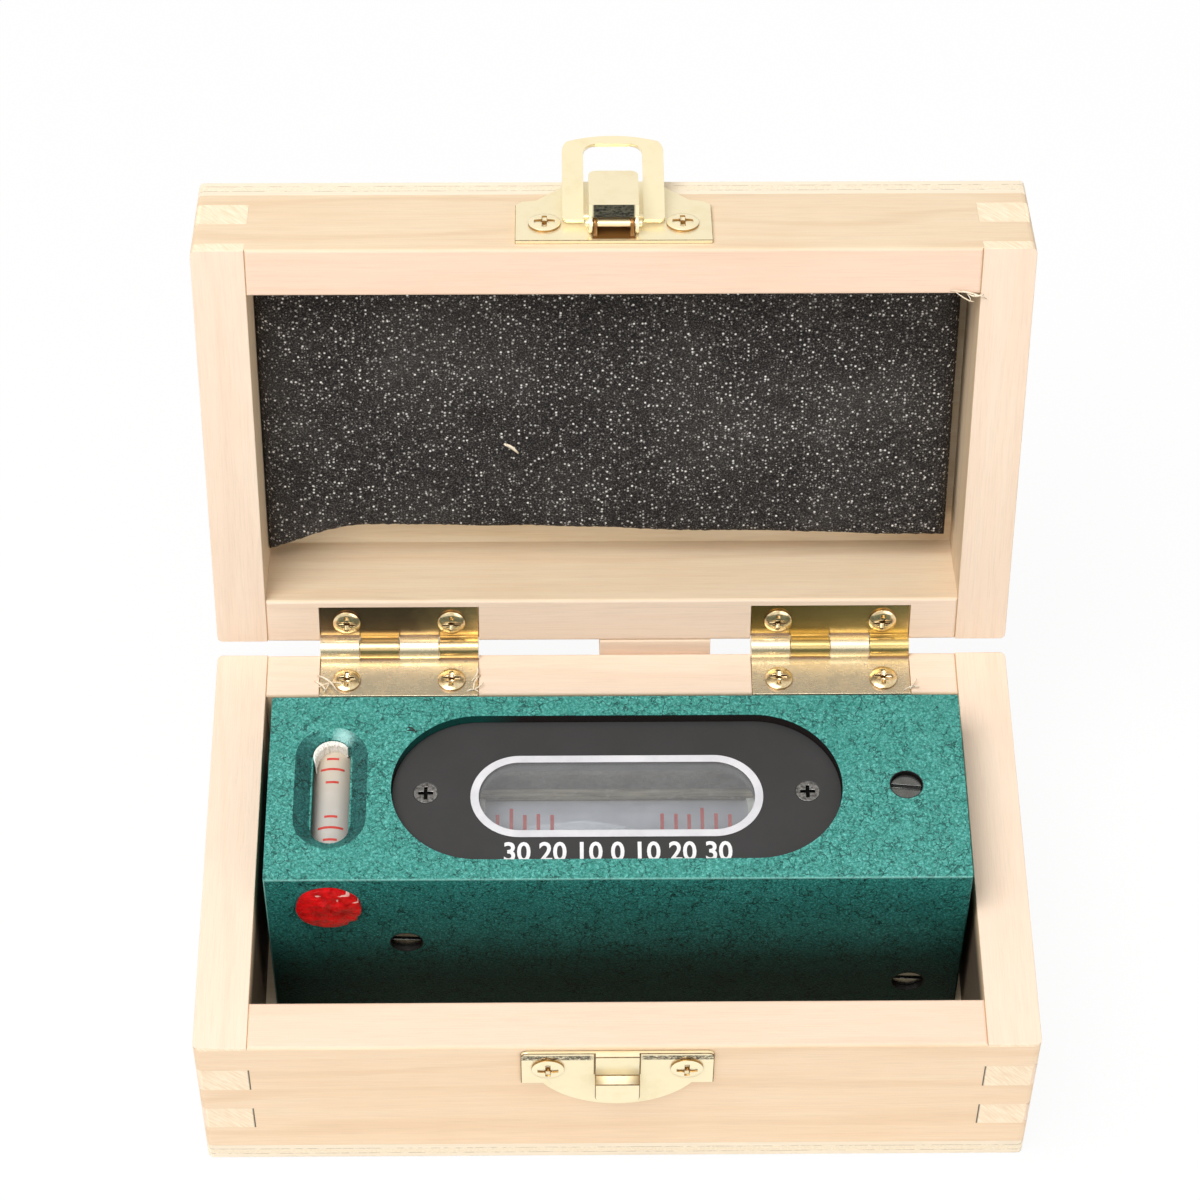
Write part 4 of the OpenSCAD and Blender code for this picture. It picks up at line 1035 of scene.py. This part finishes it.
def make_seal():
    """A pressed blob of wax in the mouth of the cross vial's bore, with a burst bubble."""
    low, high = box_mm("wax_seal")
    centre = (low + high) / 2
    radius = (high.x - low.x) / 2 * 0.955
    front = low.y
    work = bmesh.new()
    rings, spokes = 22, 72
    rows = []
    bubble, crater = Vector((-0.7, 1.65)), Vector((1.4, 2.2))
    for ring in range(1, rings + 1):
        row = []
        for spoke in range(spokes):
            turn = 2 * math.pi * spoke / spokes
            wave = field.noise(Vector((math.cos(turn) * 2.2, math.sin(turn) * 2.2, 5)))
            nicks = 0.10 * hump(turn - 5.45, 0.10) + 0.07 * hump(turn - 5.85, 0.07)
            edge = radius * (1 + 0.035 * wave) * (1 - nicks)
            reach = edge * min(1.0, ring / (rings - 2))
            u, w = reach * math.cos(turn), reach * math.sin(turn)
            spot = Vector((u, w))
            swell = 0.10 * field.noise(Vector((u * 0.7, w * 0.7, 2)))
            swell += 0.07 * field.noise(Vector((u * 2, w * 2, 7)))
            swell += 0.45 * hump((spot - bubble).length, 0.55)
            swell -= 0.30 * hump((spot - crater).length, 0.5)
            dome = 0.30 * (1 - (reach / edge) ** 4)
            depth = front + 0.28 - swell - dome
            if ring == rings - 1:
                depth = front + 0.62
            if ring == rings:
                depth = high.y
            row.append(work.verts.new(Vector((centre.x + u, depth, centre.z + w)) * MM))
        rows.append(row)
    heart = work.verts.new(Vector((centre.x, front + 0.02, centre.z)) * MM)
    for spoke in range(spokes):
        work.faces.new((heart, rows[0][spoke], rows[0][(spoke + 1) % spokes]))
    skin(work, rows)
    work.faces.new(rows[-1][::-1])
    seal = add_solid("wax_blob", work, wax_look(), "level")
    seal.data.set_sharp_from_angle(angle=math.radians(60))
    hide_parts("wax_seal")


def make_numbers():
    """A row of plain numbers along the near edge of the cover, as on a dial."""
    curve = bpy.data.curves.new("cover_numbers", "FONT")
    curve.body = "30 20 10 0 10 20 30"
    curve.size = 4.6
    curve.offset = 0.085
    curve.extrude = 0.02
    curve.align_x = "CENTER"
    curve.resolution_u = 4
    label = bpy.data.objects.new("cover_numbers_text", curve)
    bpy.context.scene.collection.objects.link(label)
    bpy.context.view_layer.update()
    mesh = bpy.data.meshes.new_from_object(label)
    bpy.data.objects.remove(label)
    places = [vert.co.x for vert in mesh.vertices]
    row_width, row_y = 32.4, -7.9
    stretch = row_width / (max(places) - min(places))
    for vert in mesh.vertices:
        x, y, z = vert.co
        vert.co = Vector((LEVEL_MID.x + x * stretch, row_y + y, COVER_HIGH.z + 0.01 + z)) * MM
    white = plain_look("white_ink", srgb(226, 226, 226), srgb(240, 240, 240), 0.6, 0.5, 0.01)
    add_piece("cover_numbers", mesh, white, "level", False)


# Torn fibres, lint and dust

def thread(work, points, radius):
    """A thin tapered strand through points in millimetres."""
    rings = []
    for index, point in enumerate(points):
        share = index / (len(points) - 1)
        thick = radius * (0.35 + 0.65 * math.sin(math.pi * (share * 0.8 + 0.12)))
        ring = []
        for turn in (0, 1.57, 3.14, 4.71):
            aside = Vector((math.cos(turn), math.sin(turn) * 0.6, math.sin(turn)))
            ring.append(work.verts.new((point + aside * thick) * MM))
        rings.append(ring)
    skin(work, rings)
    work.faces.new(rings[0][::-1])
    work.faces.new(rings[-1])


def bent(start, end, sag):
    """Seven points from start to end that bow aside by sag."""
    start, end, sag = Vector(start), Vector(end), Vector(sag)
    shares = [step / 6 for step in range(7)]
    return [start.lerp(end, share) + sag * math.sin(math.pi * share) for share in shares]


def make_strands(name, strands, material, body, lid=False):
    """strands holds a start, an end, a bow and a radius for each strand."""
    work = bmesh.new()
    for start, end, sag, radius in strands:
        line = bent(start, end, sag)
        if lid:
            line = [opened(point * MM) / MM for point in line]
        thread(work, line, radius)
    add_solid(name, work, material, body)


def make_loose_bits():
    pale = plain_look("torn_fibre", srgb(238, 214, 178), srgb(255, 244, 224), 0.6, 0.7, 0.01)
    # Four at each end of the left hinge, and two at the right end of the right one
    fibres = [
        ((-43.9, 30.0, 30.5), (-40.9, 26.9, 30.9), (0.3, 0.3, 0.1), 0.16),
        ((-43.7, 27.9, 30.4), (-40.2, 28.2, 30.9), (0.0, 0.4, 0.1), 0.13),
        ((-42.9, 27.0, 30.3), (-42.2, 29.0, 30.8), (0.3, 0.0, 0.1), 0.12),
        ((-44.3, 29.2, 30.2), (-42.6, 27.2, 30.7), (0.2, 0.1, 0.0), 0.20),
        ((-20.1, 31.6, 30.4), (-20.9, 28.6, 30.9), (0.4, 0.0, 0.1), 0.16),
        ((-19.7, 30.2, 30.2), (-20.6, 27.0, 30.8), (-0.3, 0.0, 0.1), 0.18),
        ((-20.7, 27.3, 30.3), (-19.2, 28.4, 30.6), (0.0, -0.2, 0.1), 0.15),
        ((-21.6, 27.0, 30.4), (-19.9, 26.9, 30.5), (0.0, 0.3, 0.1), 0.16),
        ((44.3, 27.1, 30.4), (45.3, 28.6, 30.8), (0.1, 0.2, 0.1), 0.15),
        ((43.4, 26.9, 30.4), (45.6, 27.3, 30.6), (0.0, 0.3, 0.1), 0.13)]
    make_strands("hinge_fibres", fibres, pale, "case_tray")
    fibres = [
        ((47.1, -27.5, 31.0), (52.3, -26.2, 31.0), (0.0, -0.4, -0.1), 0.11),
        ((48.0, -27.2, 31.0), (50.6, -25.6, 31.1), (0.2, 0.3, -0.1), 0.10),
        ((49.2, -27.3, 31.1), (51.9, -26.9, 31.0), (0.0, 0.4, -0.2), 0.12),
        ((49.6, -26.8, 31.1), (49.9, -25.4, 31.3), (0.3, 0.0, -0.1), 0.09)]
    make_strands("lid_fibres", fibres, pale, "lid", True)
    lint = [((-15.8, 4.5, 40.0), (-13.8, 6.1, 40.0), (0.15, -0.2, -0.1), 0.26)]
    make_strands("foam_lint", lint, pale, "lid", True)
    dust = plain_look("dark_dust", srgb(20, 18, 16), srgb(52, 46, 40), 0.5, 0.8, 0.01)
    tuft = [((-29.8, 14.5, 38.55), (-28.6, 13.5, 38.5), (0.1, 0.2, 0.1), 0.12),
            ((-29.9, 13.9, 38.5), (-28.5, 13.7, 38.55), (0.0, 0.15, 0.1), 0.09)]
    make_strands("cover_dust", tuft, dust, "level")


make_studio()
make_case()
make_foam()
make_metal()
make_level()
make_loose_bits()
